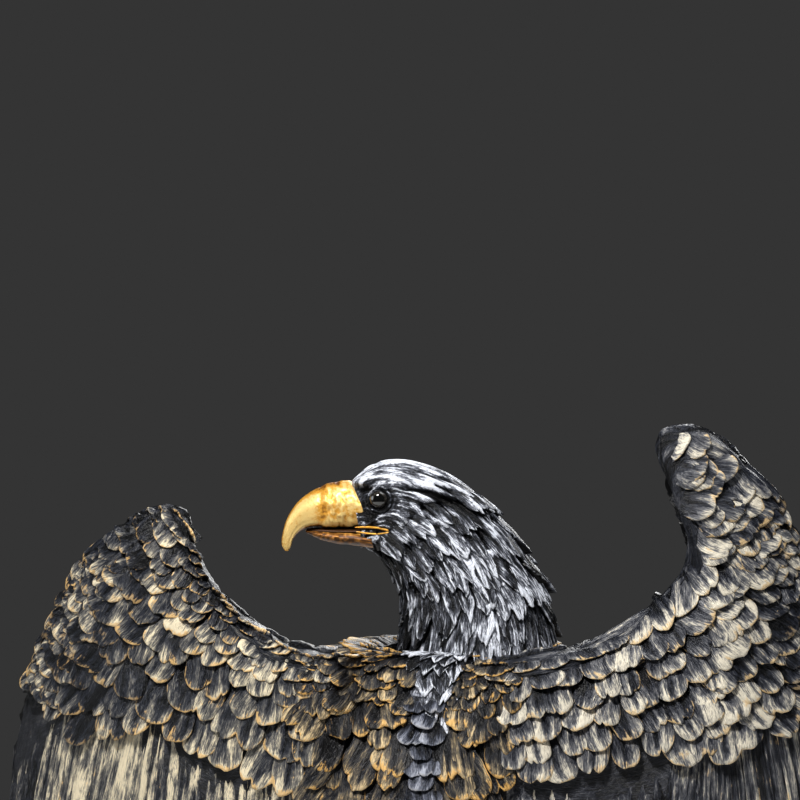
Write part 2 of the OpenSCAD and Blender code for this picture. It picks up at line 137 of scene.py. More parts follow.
HEAD = [
    [-31, 0, 28.5, 0, 29],
    [-29.5, 13, 26.5, 12, 27],
    [-26, 27, 26, 24.5, 24],
    [-19, 40.5, 29.5, 33.5, 21],
    [-10.5, 54, 34.5, 39, 18.8],
    [0.5, 66, 38.5, 42.5, 17.2],
    [13.5, 73.8, 40.5, 43.6, 16.2],
    [28, 77, 41.4, 44.2, 15.2],
    [38.5, 74.9, 41.8, 44.2, 13.2],
    [46.4, 68.6, 41.6, 44, 10.8],
]
BEAK = [
    [46.4, 68.6, 43.14, 51.9, 10.2],
    [50.7, 68.4, 49.5, 51.5, 9.2],
    [56.5, 67.2, 55, 51.6, 8],
    [61.9, 64.4, 60.2, 51.7, 6.6],
    [66.6, 60.4, 63.6, 50.9, 5.1],
    [70.2, 54.6, 66.2, 49.1, 3.6],
    [71.9, 48.8, 67.9, 46.6, 2.3],
    [72.2, 44.9, 68.6, 44.2, 1.3],
    [71, 42.5, 69.6, 42.6, 0.5],
]
JAW = [
    [42.95, 50.9, 41.72, 44.6, 8.6],
    [50, 50.7, 50, 45.1, 7.3],
    [57, 50.7, 57, 46.7, 5.6],
    [61, 50.5, 61, 48.4, 3.6],
    [63.2, 50.2, 62.8, 49.4, 1.6],
]
LEFT_RIBS = [
    [30, 25, 170, 30, 34, 76, 0, 8, 25],
    [45, 24, 172.5, 46, 34, 60, 1, 9, 23],
    [60, 20, 180, 66, 30, 50, 2, 12, 17],
    [74, 16, 191, 87, 25, 43, 4, 14, 14],
    [84, 13, 206, 105, 18, 39, 6, 15, 13],
    [88, 11, 218.5, 121, 10, 37, 8, 16, 13],
    [96.5, 8, 223, 135, 1, 38, 10, 16, 12],
    [112, 2, 217.5, 147, -8, 41, 10, 15, 11],
    [128, -5, 201, 156, -15, 48, 9, 13, 10],
    [144, -13, 174, 162, -21, 60, 7, 10, 8],
    [158, -21, 145, 167, -25, 76, 4, 6, 6],
]
RIGHT_RIBS = [
    [30, 25, 168, 30, 34, 76, 0, 8, 25],
    [48, 23, 171.5, 45, 34, 60, 1, 9, 23],
    [64, 19, 176, 61, 32, 51, 3, 12, 17],
    [80, 15, 184.5, 76, 29, 45, 5, 14, 14],
    [93, 13, 196, 89, 25, 41, 8, 15, 13],
    [99, 13, 209, 101, 21, 39, 12, 15, 13],
    [98, 14, 222, 111, 17, 38, 17, 15, 13],
    [92, 15, 235, 120, 13, 37, 23, 15, 13],
    [87.5, 16, 246, 129, 9, 37, 27, 15, 12],
    [90.5, 15, 253.5, 137, 4, 38, 25, 15, 12],
    [101, 12, 255, 145, -1, 40, 20, 15, 12],
    [115, 7, 247.5, 152, -7, 44, 16, 14, 11],
    [129, 0, 228, 158, -13, 51, 12, 12, 10],
    [140, -8, 203, 163, -19, 62, 9, 10, 9],
    [151, -15, 173, 166, -23, 77, 6, 8, 7],
    [160, -21, 141, 168, -25, 95, 3, 5, 6],
]


def smooth(table, s):
    """Every column of a station table at positions s from 0 to 1, on a smooth curve."""
    t = np.asarray(table, float)
    n = len(t) - 1
    p = np.clip(s, 0, 1) * n
    i = np.minimum(np.floor(p).astype(int), n - 1)
    f = (p - i)[..., None]
    a, b, d, e = t[np.maximum(i - 1, 0)], t[i], t[i + 1], t[np.minimum(i + 2, n)]
    return b + 0.5 * f * (d - a + f * (2 * a - 5 * b + 4 * d - e + f * (3 * (b - d) + e - a)))


def step(lo, hi, x):
    x = np.clip((x - lo) / (hi - lo), 0, 1)
    return x * x * (3 - 2 * x)


def bump(x, centre, width):
    return np.exp(-(((x - centre) / width) ** 2))


def noise(x, y, k=0):
    """Smooth seeded value noise from 0 to 1."""
    x, y = np.broadcast_arrays(np.asarray(x, float), np.asarray(y, float))
    i, j = np.floor(x).astype(np.int64), np.floor(y).astype(np.int64)
    fx, fy = x - i, y - j
    fx, fy = fx * fx * (3 - 2 * fx), fy * fy * (3 - 2 * fy)

    def at(a, b):
        h = (a * 73856093) ^ (b * 19349663) ^ (np.asarray(k).astype(np.int64) * 83492791)
        h = ((h ^ (h >> 13)) * 1274126177) & 0x7FFFFFFF
        return ((h ^ (h >> 15)) & 0xFFFF) / 65535.0

    low = at(i, j) * (1 - fx) + at(i + 1, j) * fx
    high = at(i, j + 1) * (1 - fx) + at(i + 1, j + 1) * fx
    return low * (1 - fy) + high * fy


# ------------------------------------------------------------------ surfaces, each a function of (u, v)


def wing_place(x, y, z, side, reach):
    out = side * (ROOT_X + (x - DESIGN_ROOT) * reach)
    return np.stack([out, SEAT_Y + (y - DESIGN_SEAT) * KD, PERCH + z * KZ], -1)


NOSE = 0.07  # share of the chord taken by the round leading edge
TRAIL_HALF = 1.6  # half thickness at the trailing edge


def wing_thickness(h, v):
    v = np.clip(v, 0, 1)
    nose = h * np.sqrt(np.clip(1 - (1 - np.minimum(v, NOSE) / NOSE) ** 2, 0, 1))
    flat = h + (TRAIL_HALF - h) * np.clip((v - NOSE) / (1 - NOSE), 0, 1) ** 0.8
    return np.where(v < NOSE, nose, flat)


def wing_surface(table, side, face, reach):
    def at(s, v):
        s, v = np.broadcast_arrays(np.asarray(s, float), np.asarray(v, float))
        q = smooth(table, s)
        lead, trail = q[..., 0:3], q[..., 3:6]
        c = lead + (trail - lead) * 0.4
        c = c + np.stack([q[..., 6], q[..., 7], 0 * s], -1)
        w = np.clip(v, 0, 1.2)[..., None]
        p = lead * (1 - w) ** 2 + c * 2 * w * (1 - w) + trail * w * w
        y = (p[..., 1] - DESIGN_SEAT) * KD + face * wing_thickness(q[..., 8] / 2, v)
        return wing_place(p[..., 0], y / KD + DESIGN_SEAT, p[..., 2], side, reach)

    return at, side * face, 0.006, 0.999


def ring_surface(table, sx, sy, sz, mirror=1, shift=0.0):
    """Level loft. u runs round it and v runs down it."""

    def at(u, v):
        u, v = np.broadcast_arrays(np.asarray(u, float), np.asarray(v, float))
        q = smooth(table, 1 - v)
        a = 2 * math.pi * u
        drop = np.minimum(1 - v, 0)[..., None] * np.array([0, 0, (table[1][0] - table[0][0]) * 4 * sz])
        x = mirror * (q[..., 1] * sx + q[..., 3] * sx * np.cos(a)) + shift
        y = q[..., 2] * sy + q[..., 4] * sy * np.sin(a)
        return np.stack([x, y, PERCH + q[..., 0] * sz], -1) + drop

    return at, -mirror, 0.005, 1.3


def head_point(q, angle):
    """Point of a head or beak section row q at an angle from its lower side."""
    top = np.stack([q[..., 0], 0 * q[..., 0], q[..., 1]], -1)
    low = np.stack([q[..., 2], 0 * q[..., 0], q[..., 3]], -1)
    long = np.linalg.norm(low - top, axis=-1, keepdims=True)
    axis = (low - top) / np.maximum(long, 1e-6)
    half = q[..., 4:5]
    side = np.array([0.0, 1.0, 0.0])
    upright = axis * (long / 2) * np.cos(angle)[..., None]
    return (top + low) / 2 + upright + side * half * np.sin(angle)[..., None]


def from_head(p):
    """Head coordinates (reach, side, height) to the row frame."""
    p = p * KH
    return NECK + p[..., 0:1] * AHEAD + p[..., 1:2] * ACROSS + p[..., 2:3] * np.array([0, 0, 1.0])


def head_surface():
    def at(u, v):
        u, v = np.broadcast_arrays(np.asarray(u, float), np.asarray(v, float))
        q = smooth(HEAD, 1 - v)
        p = head_point(q, 2 * math.pi * u)
        over = np.maximum(v - 1, 0)[..., None]
        flare = np.stack([p[..., 0] * 2.2, p[..., 1] * 2.2, -120 + 0 * u], -1)
        return from_head(p + over * flare)

    return at, -1, 0.005, 1.3


def normals(surface, u, v, e=0.004):
    at, sign, low, high = surface
    v = np.clip(v, low, high)
    du = at(u + e, v) - at(u - e, v)
    dv = at(u, v + e) - at(u, v - e)
    n = np.cross(du, dv) * sign
    return n / np.maximum(np.linalg.norm(n, axis=-1, keepdims=True), 1e-9)


# ------------------------------------------------------------------ meshes

KEYS = ("edge", "along", "ridge", "tint", "gild")
BOX_INSET = 0.25  # every point stays this far inside the CAD box


class Bag:
    """Gathers quads and their per-point values, and makes one piece of them."""

    def __init__(self):
        self.points, self.quads, self.values, self.count = [], [], [], 0

    def add(self, points, quads, values):
        self.points.append(points.reshape(-1, 3))
        self.values.append(values.reshape(-1, 8))
        self.quads.append(quads.reshape(-1, 4) + self.count)
        self.count += self.points[-1].shape[0]

    def make(self, name, material, *nodes):
        p = np.concatenate(self.points) / 1000
        lo, hi = np.array(CAD_LO) + BOX_INSET / 1000, np.array(CAD_HI) - BOX_INSET / 1000
        p = np.clip(p, lo, hi)
        q = np.concatenate(self.quads).astype(np.int32)
        values = np.concatenate(self.values)
        mesh = bpy.data.meshes.new(name)
        mesh.vertices.add(len(p))
        mesh.vertices.foreach_set("co", p.ravel())
        mesh.loops.add(q.size)
        mesh.loops.foreach_set("vertex_index", q.ravel())
        mesh.polygons.add(len(q))
        mesh.polygons.foreach_set("loop_start", np.arange(0, q.size, 4, dtype=np.int32))
        mesh.polygons.foreach_set("use_smooth", np.full(len(q), True))
        mesh.update(calc_edges=True)
        mesh.validate()
        for i, key in enumerate(KEYS):
            layer = mesh.attributes.new(key, "FLOAT", "POINT")
            layer.data.foreach_set("value", values[:, i].astype(np.float32))
        vec = np.ascontiguousarray(values[:, 5:8].astype(np.float32))
        mesh.attributes.new("strand", "FLOAT_VECTOR", "POINT").data.foreach_set("vector", vec.ravel())
        return place(mesh, name, material, *nodes)


def place(mesh, name, material, *nodes):
    piece = bpy.data.objects.new(name, mesh)
    bpy.context.collection.objects.link(piece)
    mesh.materials.append(material)
    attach(piece, "root")
    if nodes:
        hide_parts(*nodes)
    return piece


def grid_quads(rows, cols, wrap=False):
    i, j = np.meshgrid(np.arange(rows - 1), np.arange(cols if wrap else cols - 1), indexing="ij")
    k = (j + 1) % cols
    return np.stack([i * cols + j, i * cols + k, (i + 1) * cols + k, (i + 1) * cols + j], -1).reshape(-1, 4)


def around(count):
    """Even steps once round a closed section."""
    return np.linspace(0, 1, count, endpoint=False)


def plain_values(shape, along=0.3, ridge=0.5, tint=0.5, gild=0.3, strand=None):
    out = np.zeros(shape + (8,))
    for i, x in enumerate((0.0, along, ridge, tint, gild)):
        out[..., i] = x
    if strand is not None:
        out[..., 5:8] = strand
    return out


SHAPES = {  # half width at the root, widest place, taper, tip length in half widths, tip power, grooves, dome
    "scale": (0.70, 0.62, 0.05, 0.85, 2.2, 0.50, 1.5),
    "covert": (0.62, 0.68, 0.06, 1.00, 2.1, 0.65, 1.7),
    "mantle": (0.50, 0.66, 0.08, 1.20, 2.0, 0.85, 1.9),
    "flight": (0.80, 0.90, 0.05, 1.10, 2.0, 0.70, 0.6),
    "lance": (0.60, 0.45, 0.45, 1.90, 1.5, 1.00, 1.1),
}


def plumes(
    bag, surface, u, v, du, dv, mm, kind, lift=1.5, gild=0.6, na=15, nb=12, twist=0.0, ragged=1.0, shade=1.0
):
    """Lays closed feathers: u, v is the tip, du the half width and dv the length, mm their sizes."""
    at, sign = surface[:2]
    root, wide, taper, point, power, groove, dome = SHAPES[kind]
    count = len(u)
    wide_mm, long_mm = mm
    a = (np.sin(np.linspace(-1.42, 1.42, na)) / math.sin(1.42))[None, None, :]
    t = (1 - (1 - np.linspace(0, 1, nb)) ** 1.45)[None, :, None]
    seed = rng.integers(0, 100000, count)[:, None, None]
    r1, r2, r3, r4, r5 = rng.random((5, count, 1, 1))
    tip = point * wide_mm / 2 / long_mm * (1 - (1 - np.minimum(np.abs(a), 0.999) ** power) ** (1 / power))
    notch = (r5 > 0.6) * 0.10 * bump(a, 1.3 * (r1 - 0.5), 0.12)
    notch = notch + 0.07 * (noise(a * 2.6 + 20 * r3, 3 * r1, seed) - 0.5)
    b = t * (1 - tip - ragged * notch)
    w = np.where(b < wide, root + (1 - root) * np.sin(math.pi / 2 * np.minimum(b / wide, 1)),
                 1 - taper * ((b - wide) / (1 - wide)) ** 2)
    w = w * (1 + 0.14 * (noise(b * 4 + 0 * a, 7 * r1 + np.sign(a), seed) - 0.5))
    shear = (r2 - 0.5) * 0.75
    uu = u[:, None, None] + du[:, None, None] * (a * w + shear * (b - 0.8) + 0.10 * np.sin(4 * b + 6 * r1))
    vv = v[:, None, None] - dv[:, None, None] * (1 - b)
    edge = 1 - (1 - np.abs(a) ** 9 * step(0.3, 0.75, b)) * (1 - t**11)
    x_mm = a * wide_mm / 2 + 0.9 * np.sin(b * 3 + 6 * r4) * (1 + 0 * a)
    fibres = noise(x_mm * 0.85 + 50 * r4, b * long_mm * 0.13, seed)
    broad = noise(x_mm * 0.38 + 30 * r3, b * long_mm * 0.07, seed + 7)
    shaft = bump(a, 0.25 * (r3 - 0.5), 0.13) * step(1.0, 0.8, b) * (r2 > (0.15 if kind == "mantle" else 0.55))
    ridge = np.clip(0.5 + 0.75 * (fibres - 0.5) + 0.55 * (broad - 0.5) - 0.55 * shaft, 0, 1)
    inner = (1 - 0.8 * edge) * step(0.0, 0.3, b)
    lift = np.asarray(lift) * (0.75 + 0.5 * r3)
    h = -0.6 - 1.6 * (1 - t) ** 3 + (lift + 0.6) * b**1.1
    h = h + dome * (1 - a**2) ** 0.8 * b**0.6 * (1 - 0.45 * t**6) * min(1, wide_mm / 11)
    h = h + groove * min(1, wide_mm / 10) * (ridge - 0.5) * 2.0 * inner + 0.25 * bump(t, 0.93, 0.07)
    h = h + (twist + 0.9 * (r1 - 0.5)) * a * b * min(1, wide_mm / 12)
    h = h + 0.6 * (r4 - 0.4) * b**4 - 0.35 * np.abs(a) ** 14
    p0 = at(uu, vv)
    n = normals(surface, uu, vv)
    points = p0 + n * h[..., None]
    values = np.zeros(points.shape[:-1] + (8,))
    values[..., 0] = edge
    # along runs from root to tip; the material darkens the root end, partly less rubbed metal there and
    # partly painted shade under the feather above; shade sets how much
    values[..., 1] = shade * b + (1 - shade) * 0.8
    values[..., 2] = ridge
    values[..., 3] = r1 + 0 * h
    values[..., 4] = (gild[:, None, None] if np.ndim(gild) else gild) + 0.22 * (r2 - 0.5) + 0 * h
    values[..., 5] = x_mm + 0 * h
    values[..., 6] = b * long_mm + 0 * h
    values[..., 7] = r3 * 40 + 0 * h
    # the wall of the feather goes down from its rim, drawn in a little so that it throws a shadow
    left = [(i, 0) for i in range(nb)]
    end = [(nb - 1, j) for j in range(1, na)]
    right = [(i, na - 1) for i in range(nb - 2, -1, -1)]
    rim = np.array(left + end + right)
    ri, rj = rim[:, 0], rim[:, 1]
    uc = u[:, None] + 0 * uu[:, ri, rj]
    ur = uc + (uu[:, ri, rj] - uc) * 0.86
    vr = vv[:, ri, rj] - dv[:, None] * 0.07 * t[0, ri, 0][None, :]
    foot = at(ur, vr) - n[:, ri, rj] * 0.7
    # the wall is coloured darkest: painted shade in the gap under each feather's rim
    shaded_foot_values = values[:, ri, rj].copy()
    shaded_foot_values[..., :5] = [0, 0, 0, 0.1, 0]
    size, extra = nb * na, len(rim)
    quads = grid_quads(nb, na)
    k = np.arange(extra - 1)
    flat = ri * na + rj
    wall = np.stack([flat[k], flat[k + 1], size + k + 1, size + k], -1)
    one = np.concatenate([quads, wall])
    if sign < 0:
        one = one[:, ::-1]
    points = np.concatenate([points.reshape(count, size, 3), foot], 1)
    values = np.concatenate([values.reshape(count, size, 8), shaded_foot_values], 1)
    every = one[None] + (np.arange(count) * (size + extra))[:, None, None]
    bag.add(points, every, values)


def row(surface, v_of, u0, u1, width, length, phase, jitter=1.0, closed=False):
    """Even places along one row, as u, v, half width and length in the surface's own units."""
    at = surface[0]
    us = np.linspace(u0, u1, 500)
    p = at(us, v_of(us))
    gaps = np.linalg.norm(np.diff(p, axis=0), axis=1)
    run = np.concatenate([[0], np.cumsum(gaps)])
    n = max(1, int(round(run[-1] / width)))
    where = (np.arange(n) + 0.25 + 0.5 * (phase % 2)) / n * run[-1]
    where = where + rng.uniform(-0.16, 0.16, n) * width * jitter
    where = np.mod(where, run[-1]) if closed else np.clip(where, 0, run[-1])
    u = np.interp(where, run, us)
    speed = np.interp(where, run[1:], gaps / (us[1] - us[0]))
    v = v_of(u)
    e = 0.01
    vspeed = np.linalg.norm(at(u, v) - at(u, v - e), axis=-1) / e
    dv = length / np.maximum(vspeed, 1)
    v = v + rng.uniform(-0.13, 0.13, n) * dv * jitter
    du = 0.5 * width * 1.18 / np.maximum(speed, 1) * rng.uniform(0.82, 1.2, n)
    return u, v, du, dv * rng.uniform(0.92, 1.12, n)


def skin(bag, surface, us, vs, inset, wrap=False, **values):
    at, sign = surface[:2]
    u, v = np.meshgrid(us, vs)
    p = at(u, v)
    p = p - normals(surface, u, v) * inset
    strand = np.stack([u * 200, v * 60, 0 * u], -1)
    quads = grid_quads(len(vs), len(us), wrap)
    bag.add(p, quads if sign > 0 else quads[:, ::-1], plain_values(u.shape, strand=strand, **values))


# ------------------------------------------------------------------ materials


class Graph:
    """A short way to write a node material."""

    def __init__(self, name, **fixed):
        self.material = bpy.data.materials.new(name)
        self.material.use_nodes = True
        self.tree = self.material.node_tree
        self.shader = self.tree.nodes["Principled BSDF"]
        for key, value in fixed.items():
            self.shader.inputs[key.replace("_", " ")].default_value = value

    def node(self, kind, out=0, settings=None, **sockets):
        n = self.tree.nodes.new(kind)
        for key, value in (settings or {}).items():
            setattr(n, key, value)
        for key, value in sockets.items():
            self.feed(n.inputs[int(key[1:])] if key[0] == "i" and key[1:].isdigit() else n.inputs[key], value)
        return n.outputs[out]

    def feed(self, socket, value):
        if isinstance(value, bpy.types.NodeSocket):
            self.tree.links.new(value, socket)
        elif value is not None:
            if isinstance(value, tuple) and len(value) == 3 and socket.type == "RGBA":
                value = value + (1.0,)
            socket.default_value = value

    def attribute(self, name, vector=False):
        return self.node("ShaderNodeAttribute", 1 if vector else 2, {"attribute_name": name})

    def math(self, operation, a, b=None, c=None):
        return self.node("ShaderNodeMath", 0, {"operation": operation}, i0=a, i1=b, i2=c)

    def total(self, *terms):
        """Sum of (value, weight, zero point) terms."""
        out = None
        for value, weight, zero in terms:
            part = self.math("MULTIPLY_ADD", value, weight, -weight * zero)
            out = part if out is None else self.math("ADD", out, part)
        return out

    def step(self, value, low, high, a=0.0, b=1.0):
        smooth_step = {"interpolation_type": "SMOOTHSTEP"}
        return self.node("ShaderNodeMapRange", 0, smooth_step, i0=value, i1=low, i2=high, i3=a, i4=b)

    def mix(self, factor, a, b):
        n = self.tree.nodes.new("ShaderNodeMix")
        n.data_type = "RGBA"
        self.feed(n.inputs[0], factor)
        self.feed(n.inputs[6], a)
        self.feed(n.inputs[7], b)
        return n.outputs[2]

    def stretch(self, vector, *scale):
        return self.node("ShaderNodeVectorMath", 0, {"operation": "MULTIPLY"}, i0=vector, i1=scale)

    def place(self):
        return self.node("ShaderNodeTexCoord", 3)

    def noise(self, vector, scale, detail=3.0, roughness=0.55, distortion=0.0):
        return self.node(
            "ShaderNodeTexNoise", 0, Vector=vector, Scale=scale, Detail=detail,
            Roughness=roughness, Distortion=distortion,
        )

    def bump(self, height, distance, strength=1.0):
        n = self.tree.nodes.new("ShaderNodeBump")
        n.inputs["Strength"].default_value = strength
        n.inputs["Distance"].default_value = distance
        self.tree.links.new(height, n.inputs["Height"])
        return n.outputs[0]

    def finish(self, **sockets):
        for key, value in sockets.items():
            self.feed(self.shader.inputs[key.replace("_", " ")], value)
        return self.material


def plumage(
    name, dark, slate, khaki, brush, rim, shift=0.0, metallic=0.15, gloss=0.34, strokes=1.9, spread=1.0
):
    """Dark patina with lighter metal rubbed over whatever stands proud."""
    g = Graph(name, Metallic=metallic, Specular_IOR_Level=0.3)
    edge, along, ridge = g.attribute("edge"), g.attribute("along"), g.attribute("ridge")
    tint, gild, strand = g.attribute("tint"), g.attribute("gild"), g.attribute("strand", True)
    streak = g.noise(g.stretch(strand, 1.35, 0.17, 1.0), 1.0, 3.0, 0.62, 0.35)
    fine = g.noise(g.stretch(strand, 3.4, 0.50, 1.0), 1.0, 2.0, 0.6)
    blot = g.noise(g.place(), 170.0, 3.0, 0.6)
    wide = g.noise(g.place(), 40.0, 2.0, 0.5)
    # the along term darkens every feather towards its root: painted shade under the feather above it,
    # together with less rubbed metal there
    level = g.total(
        (ridge, 1.6, 0.5), (along, 1.5, 0.72), (streak, strokes, 0.5), (blot, 1.3, 0.5), (wide, 0.9, 0.5),
        (fine, 1.7, 0.5), (gild, 1.7, 0.55), (tint, 0.55, 0.5), (edge, 0.15, 0.2),
    )
    faint = g.step(level, shift - 1.15 * spread, shift - 0.20 * spread)
    half = g.step(level, shift - 0.45 * spread, shift + 0.30 * spread)
    rubbed = g.step(level, shift + 0.10 * spread, shift + 0.85 * spread)
    worn = g.math(
        "MULTIPLY",
        g.step(g.total((edge, 1.0, 0.0), (streak, 2.4, 0.5), (blot, 3.6, 0.5), (along, 0.5, 0.9)), 0.62, 1.1),
        g.step(gild, 0.05, 0.5),
    )
    colour = g.mix(faint, dark, slate)
    colour = g.mix(half, colour, khaki)
    colour = g.mix(rubbed, colour, brush)
    colour = g.mix(g.math("MULTIPLY", worn, 0.75), colour, rim)
    height = g.total((streak, 1.0, 0.0), (fine, 0.7, 0.0), (blot, 0.3, 0.0))
    return g.finish(
        Base_Color=colour,
        Roughness=g.math("MULTIPLY_ADD", rubbed, 0.12, gloss),
        Normal=g.bump(height, 0.0009, 1.0),
    )


FEATHER = plumage(
    "feather_bronze", (0.001, 0.0012, 0.0018), (0.019, 0.022, 0.032), (0.155, 0.148, 0.135),
    (0.80, 0.70, 0.50), (0.84, 0.53, 0.20), 0.10
)
COOL_FEATHER = plumage(
    "cool_feather_bronze", (0.001, 0.0012, 0.0020), (0.020, 0.023, 0.034), (0.145, 0.147, 0.158),
    (0.78, 0.72, 0.59), (0.80, 0.56, 0.27), -0.04
)
MANTLE = plumage(
    "mantle_bronze", (0.001, 0.001, 0.0016), (0.018, 0.019, 0.024), (0.15, 0.122, 0.082), (0.76, 0.58, 0.33),
    (0.80, 0.46, 0.13), 0.30
)
SPINE = plumage(
    "spine_bronze", (0.001, 0.001, 0.002), (0.018, 0.021, 0.031), (0.095, 0.105, 0.14), (0.38, 0.40, 0.47),
    (0.34, 0.34, 0.36), 0.12
)
HACKLE = plumage(
    "head_bronze", (0.0008, 0.0008, 0.0012), (0.015, 0.017, 0.023), (0.15, 0.16, 0.195), (0.86, 0.90, 1.0),
    (0.82, 0.86, 0.95), 0.07, 0.22, 0.32, 2.4, 0.80
)


def gilt(name, deep, gold, bright, roughness):
    g = Graph(name, Metallic=0.42)
    place = g.place()
    soft = g.noise(place, 120.0, 4.0, 0.6)
    grit = g.noise(place, 1300.0, 3.0, 0.7)
    ridge, gild = g.attribute("ridge"), g.attribute("gild")
    level = g.total((ridge, 1.3, 0.5), (soft, 0.8, 0.5), (grit, 1.1, 0.5), (gild, 1.5, 0.5))
    colour = g.mix(g.step(level, -0.60, 0.02), deep, gold)
    colour = g.mix(g.step(level, 0.0, 0.45), colour, bright)
    return g.finish(
        Base_Color=colour,
        Roughness=g.math("MULTIPLY_ADD", grit, 0.25, roughness),
        Normal=g.bump(g.total((grit, 0.6, 0.0), (soft, 0.6, 0.0)), 0.0004, 0.6),
    )


GILT = gilt("gilt", (0.20, 0.065, 0.005), (0.78, 0.37, 0.042), (0.98, 0.69, 0.25), 0.28)
GILT_DARK = gilt("gilt_dark", (0.045, 0.015, 0.002), (0.26, 0.10, 0.012), (0.70, 0.36, 0.07), 0.34)


def foot_metal():
    g = Graph("foot_bronze", Metallic=0.6)
    place, along = g.place(), g.attribute("along")
    soft, grit = g.noise(place, 120.0, 4.0), g.noise(place, 800.0, 3.0)
    level = g.total((g.attribute("ridge"), 1.2, 0.5), (soft, 0.8, 0.5), (grit, 0.4, 0.5))
    colour = g.mix(g.step(level, -0.35, 0.35), (0.10, 0.045, 0.008), (0.62, 0.36, 0.075))
    colour = g.mix(g.step(level, 0.2, 0.75), colour, (0.95, 0.70, 0.30))
    claw = g.step(along, 0.66, 0.72)
    colour = g.mix(claw, colour, g.mix(g.step(soft, 0.45, 0.7), (0.008, 0.008, 0.010), (0.10, 0.09, 0.075)))
    rough = g.math("MULTIPLY_ADD", claw, -0.14, 0.38)
    return g.finish(Base_Color=colour, Roughness=rough, Normal=g.bump(grit, 0.0003, 0.5))


def rock_metal():
    g = Graph("rock_bronze", Metallic=0.35)
    place = g.place()
    big = g.noise(place, 40.0, 5.0, 0.6)
    mid = g.noise(place, 190.0, 5.0, 0.65)
    grit = g.noise(place, 900.0, 3.0, 0.7)
    level = g.total((g.attribute("ridge"), 1.4, 0.5), (big, 0.7, 0.5), (mid, 1.1, 0.5), (grit, 0.5, 0.5))
    colour = g.mix(g.step(level, -0.5, 0.25), (0.008, 0.008, 0.010), (0.080, 0.072, 0.060))
    colour = g.mix(g.step(level, 0.1, 0.9), colour, (0.46, 0.35, 0.19))
    height = g.total((mid, 0.7, 0.0), (grit, 0.35, 0.0))
    rough = g.math("MULTIPLY_ADD", mid, 0.3, 0.34)
    return g.finish(Base_Color=colour, Roughness=rough, Normal=g.bump(height, 0.0012, 0.8))


def marble():
    g = Graph("plinth_stone", Roughness=0.11)
    place = g.place()
    warp = g.noise(place, 22.0, 6.0, 0.6)
    nudge = g.stretch(warp, 0.05, 0.05, 0.05)
    bent = g.node("ShaderNodeVectorMath", 0, {"operation": "ADD"}, i0=place, i1=nudge)
    veins = g.noise(bent, 14.0, 7.0, 0.62, 1.4)
    thin = g.step(g.math("ABSOLUTE", g.math("SUBTRACT", veins, 0.5)), 0.0, 0.012, 1.0, 0.0)
    patchy = g.math("MULTIPLY", thin, g.step(warp, 0.45, 0.65))
    cloud = g.mix(g.step(warp, 0.3, 0.75), (0.006, 0.006, 0.007), (0.020, 0.020, 0.022))
    return g.finish(Base_Color=g.mix(patchy, cloud, (0.45, 0.44, 0.41)))


def plain_metal(name, colour, roughness, grain):
    g = Graph(name, Metallic=1.0)
    n = g.noise(g.place(), grain, 4.0, 0.6)
    tone = g.mix(g.step(n, 0.3, 0.7), tuple(c * 0.72 for c in colour), colour)
    rough = g.math("MULTIPLY_ADD", n, 0.2, roughness)
    return g.finish(Base_Color=tone, Roughness=rough, Normal=g.bump(n, 0.0002, 0.4))


def pad_rubber():
    g = Graph("pad_rubber")
    n = g.noise(g.place(), 1500.0, 2.0, 0.6)
    return g.finish(
        Base_Color=g.mix(n, (0.012, 0.012, 0.012), (0.035, 0.035, 0.034)),
        Roughness=g.math("MULTIPLY_ADD", n, 0.2, 0.7),
        Normal=g.bump(n, 0.0003, 0.6),
    )


def eye_glass(centre):
    """Dark cabochon: black pupil, brown-black iris with a paler ring, all under a gloss."""
    g = Graph("eye_glass", Roughness=0.06, Coat_Weight=1.0, Coat_Roughness=0.03)
    off = g.node("ShaderNodeVectorMath", 0, {"operation": "SUBTRACT"}, i0=g.place(), i1=tuple(centre / 1000))
    depth = g.node("ShaderNodeVectorMath", 1, {"operation": "DOT_PRODUCT"}, i0=off, i1=tuple(ACROSS))
    whole = g.node("ShaderNodeVectorMath", 1, {"operation": "LENGTH"}, i0=off)
    squared = g.math("SUBTRACT", g.math("MULTIPLY", whole, whole), g.math("MULTIPLY", depth, depth))
    out = g.math("SQRT", squared)
    grain = g.noise(g.place(), 2600.0, 3.0, 0.6)
    iris = g.mix(g.step(grain, 0.35, 0.7), (0.008, 0.007, 0.006), (0.045, 0.040, 0.034))
    colour = g.mix(g.step(out, 0.0020 * KH, 0.0022 * KH), (0.002, 0.002, 0.002), iris)
    colour = g.mix(g.step(out, 0.0029 * KH, 0.0031 * KH), colour, (0.006, 0.006, 0.007))
    return g.finish(Base_Color=colour)


FOOT, ROCK = foot_metal(), rock_metal()
STEEL = plain_metal("steel", (0.55, 0.55, 0.56), 0.25, 900.0)
PIN = plain_metal("pin_brass", (0.75, 0.58, 0.28), 0.28, 900.0)


def dress(node, material):
    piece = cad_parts[node]
    piece.data.materials.clear()
    piece.data.materials.append(material)


dress("plinth", marble())
dress("base_pad", pad_rubber())
for name in ("plinth_screws", "plinth_washers", "foot_studs", "foot_washers", "foot_nuts"):
    dress(name, STEEL)
for name in ("neck_dowel", "tail_dowels", "left_wing_dowels", "right_wing_dowels"):
    dress(name, PIN)
for name in ("left_eye", "right_eye"):
    dress(name, eye_glass(middle(name)))

# ------------------------------------------------------------------ wings


def chord(surface):
    """Turns a distance from the leading edge into v, for any place s along the wing."""
    s, v = np.linspace(0, 1, 81), np.linspace(0, 1, 301)
    p = surface[0](s[:, None], v[None])
    arcs = np.concatenate([np.zeros((81, 1)), np.cumsum(np.linalg.norm(np.diff(p, axis=1), axis=-1), 1)], 1)

    def length(u):
        return np.interp(u, s, arcs[:, -1])

    def at(u, d):
        u, d = np.broadcast_arrays(np.clip(u, 0, 1), d)
        i = np.minimum((u * 80).astype(int), 79)
        f = u * 80 - i
        return np.array([np.interp(dd, arcs[a] * (1 - g) + arcs[a + 1] * g, v) for a, g, dd in zip(i, f, d)])

    return at, length


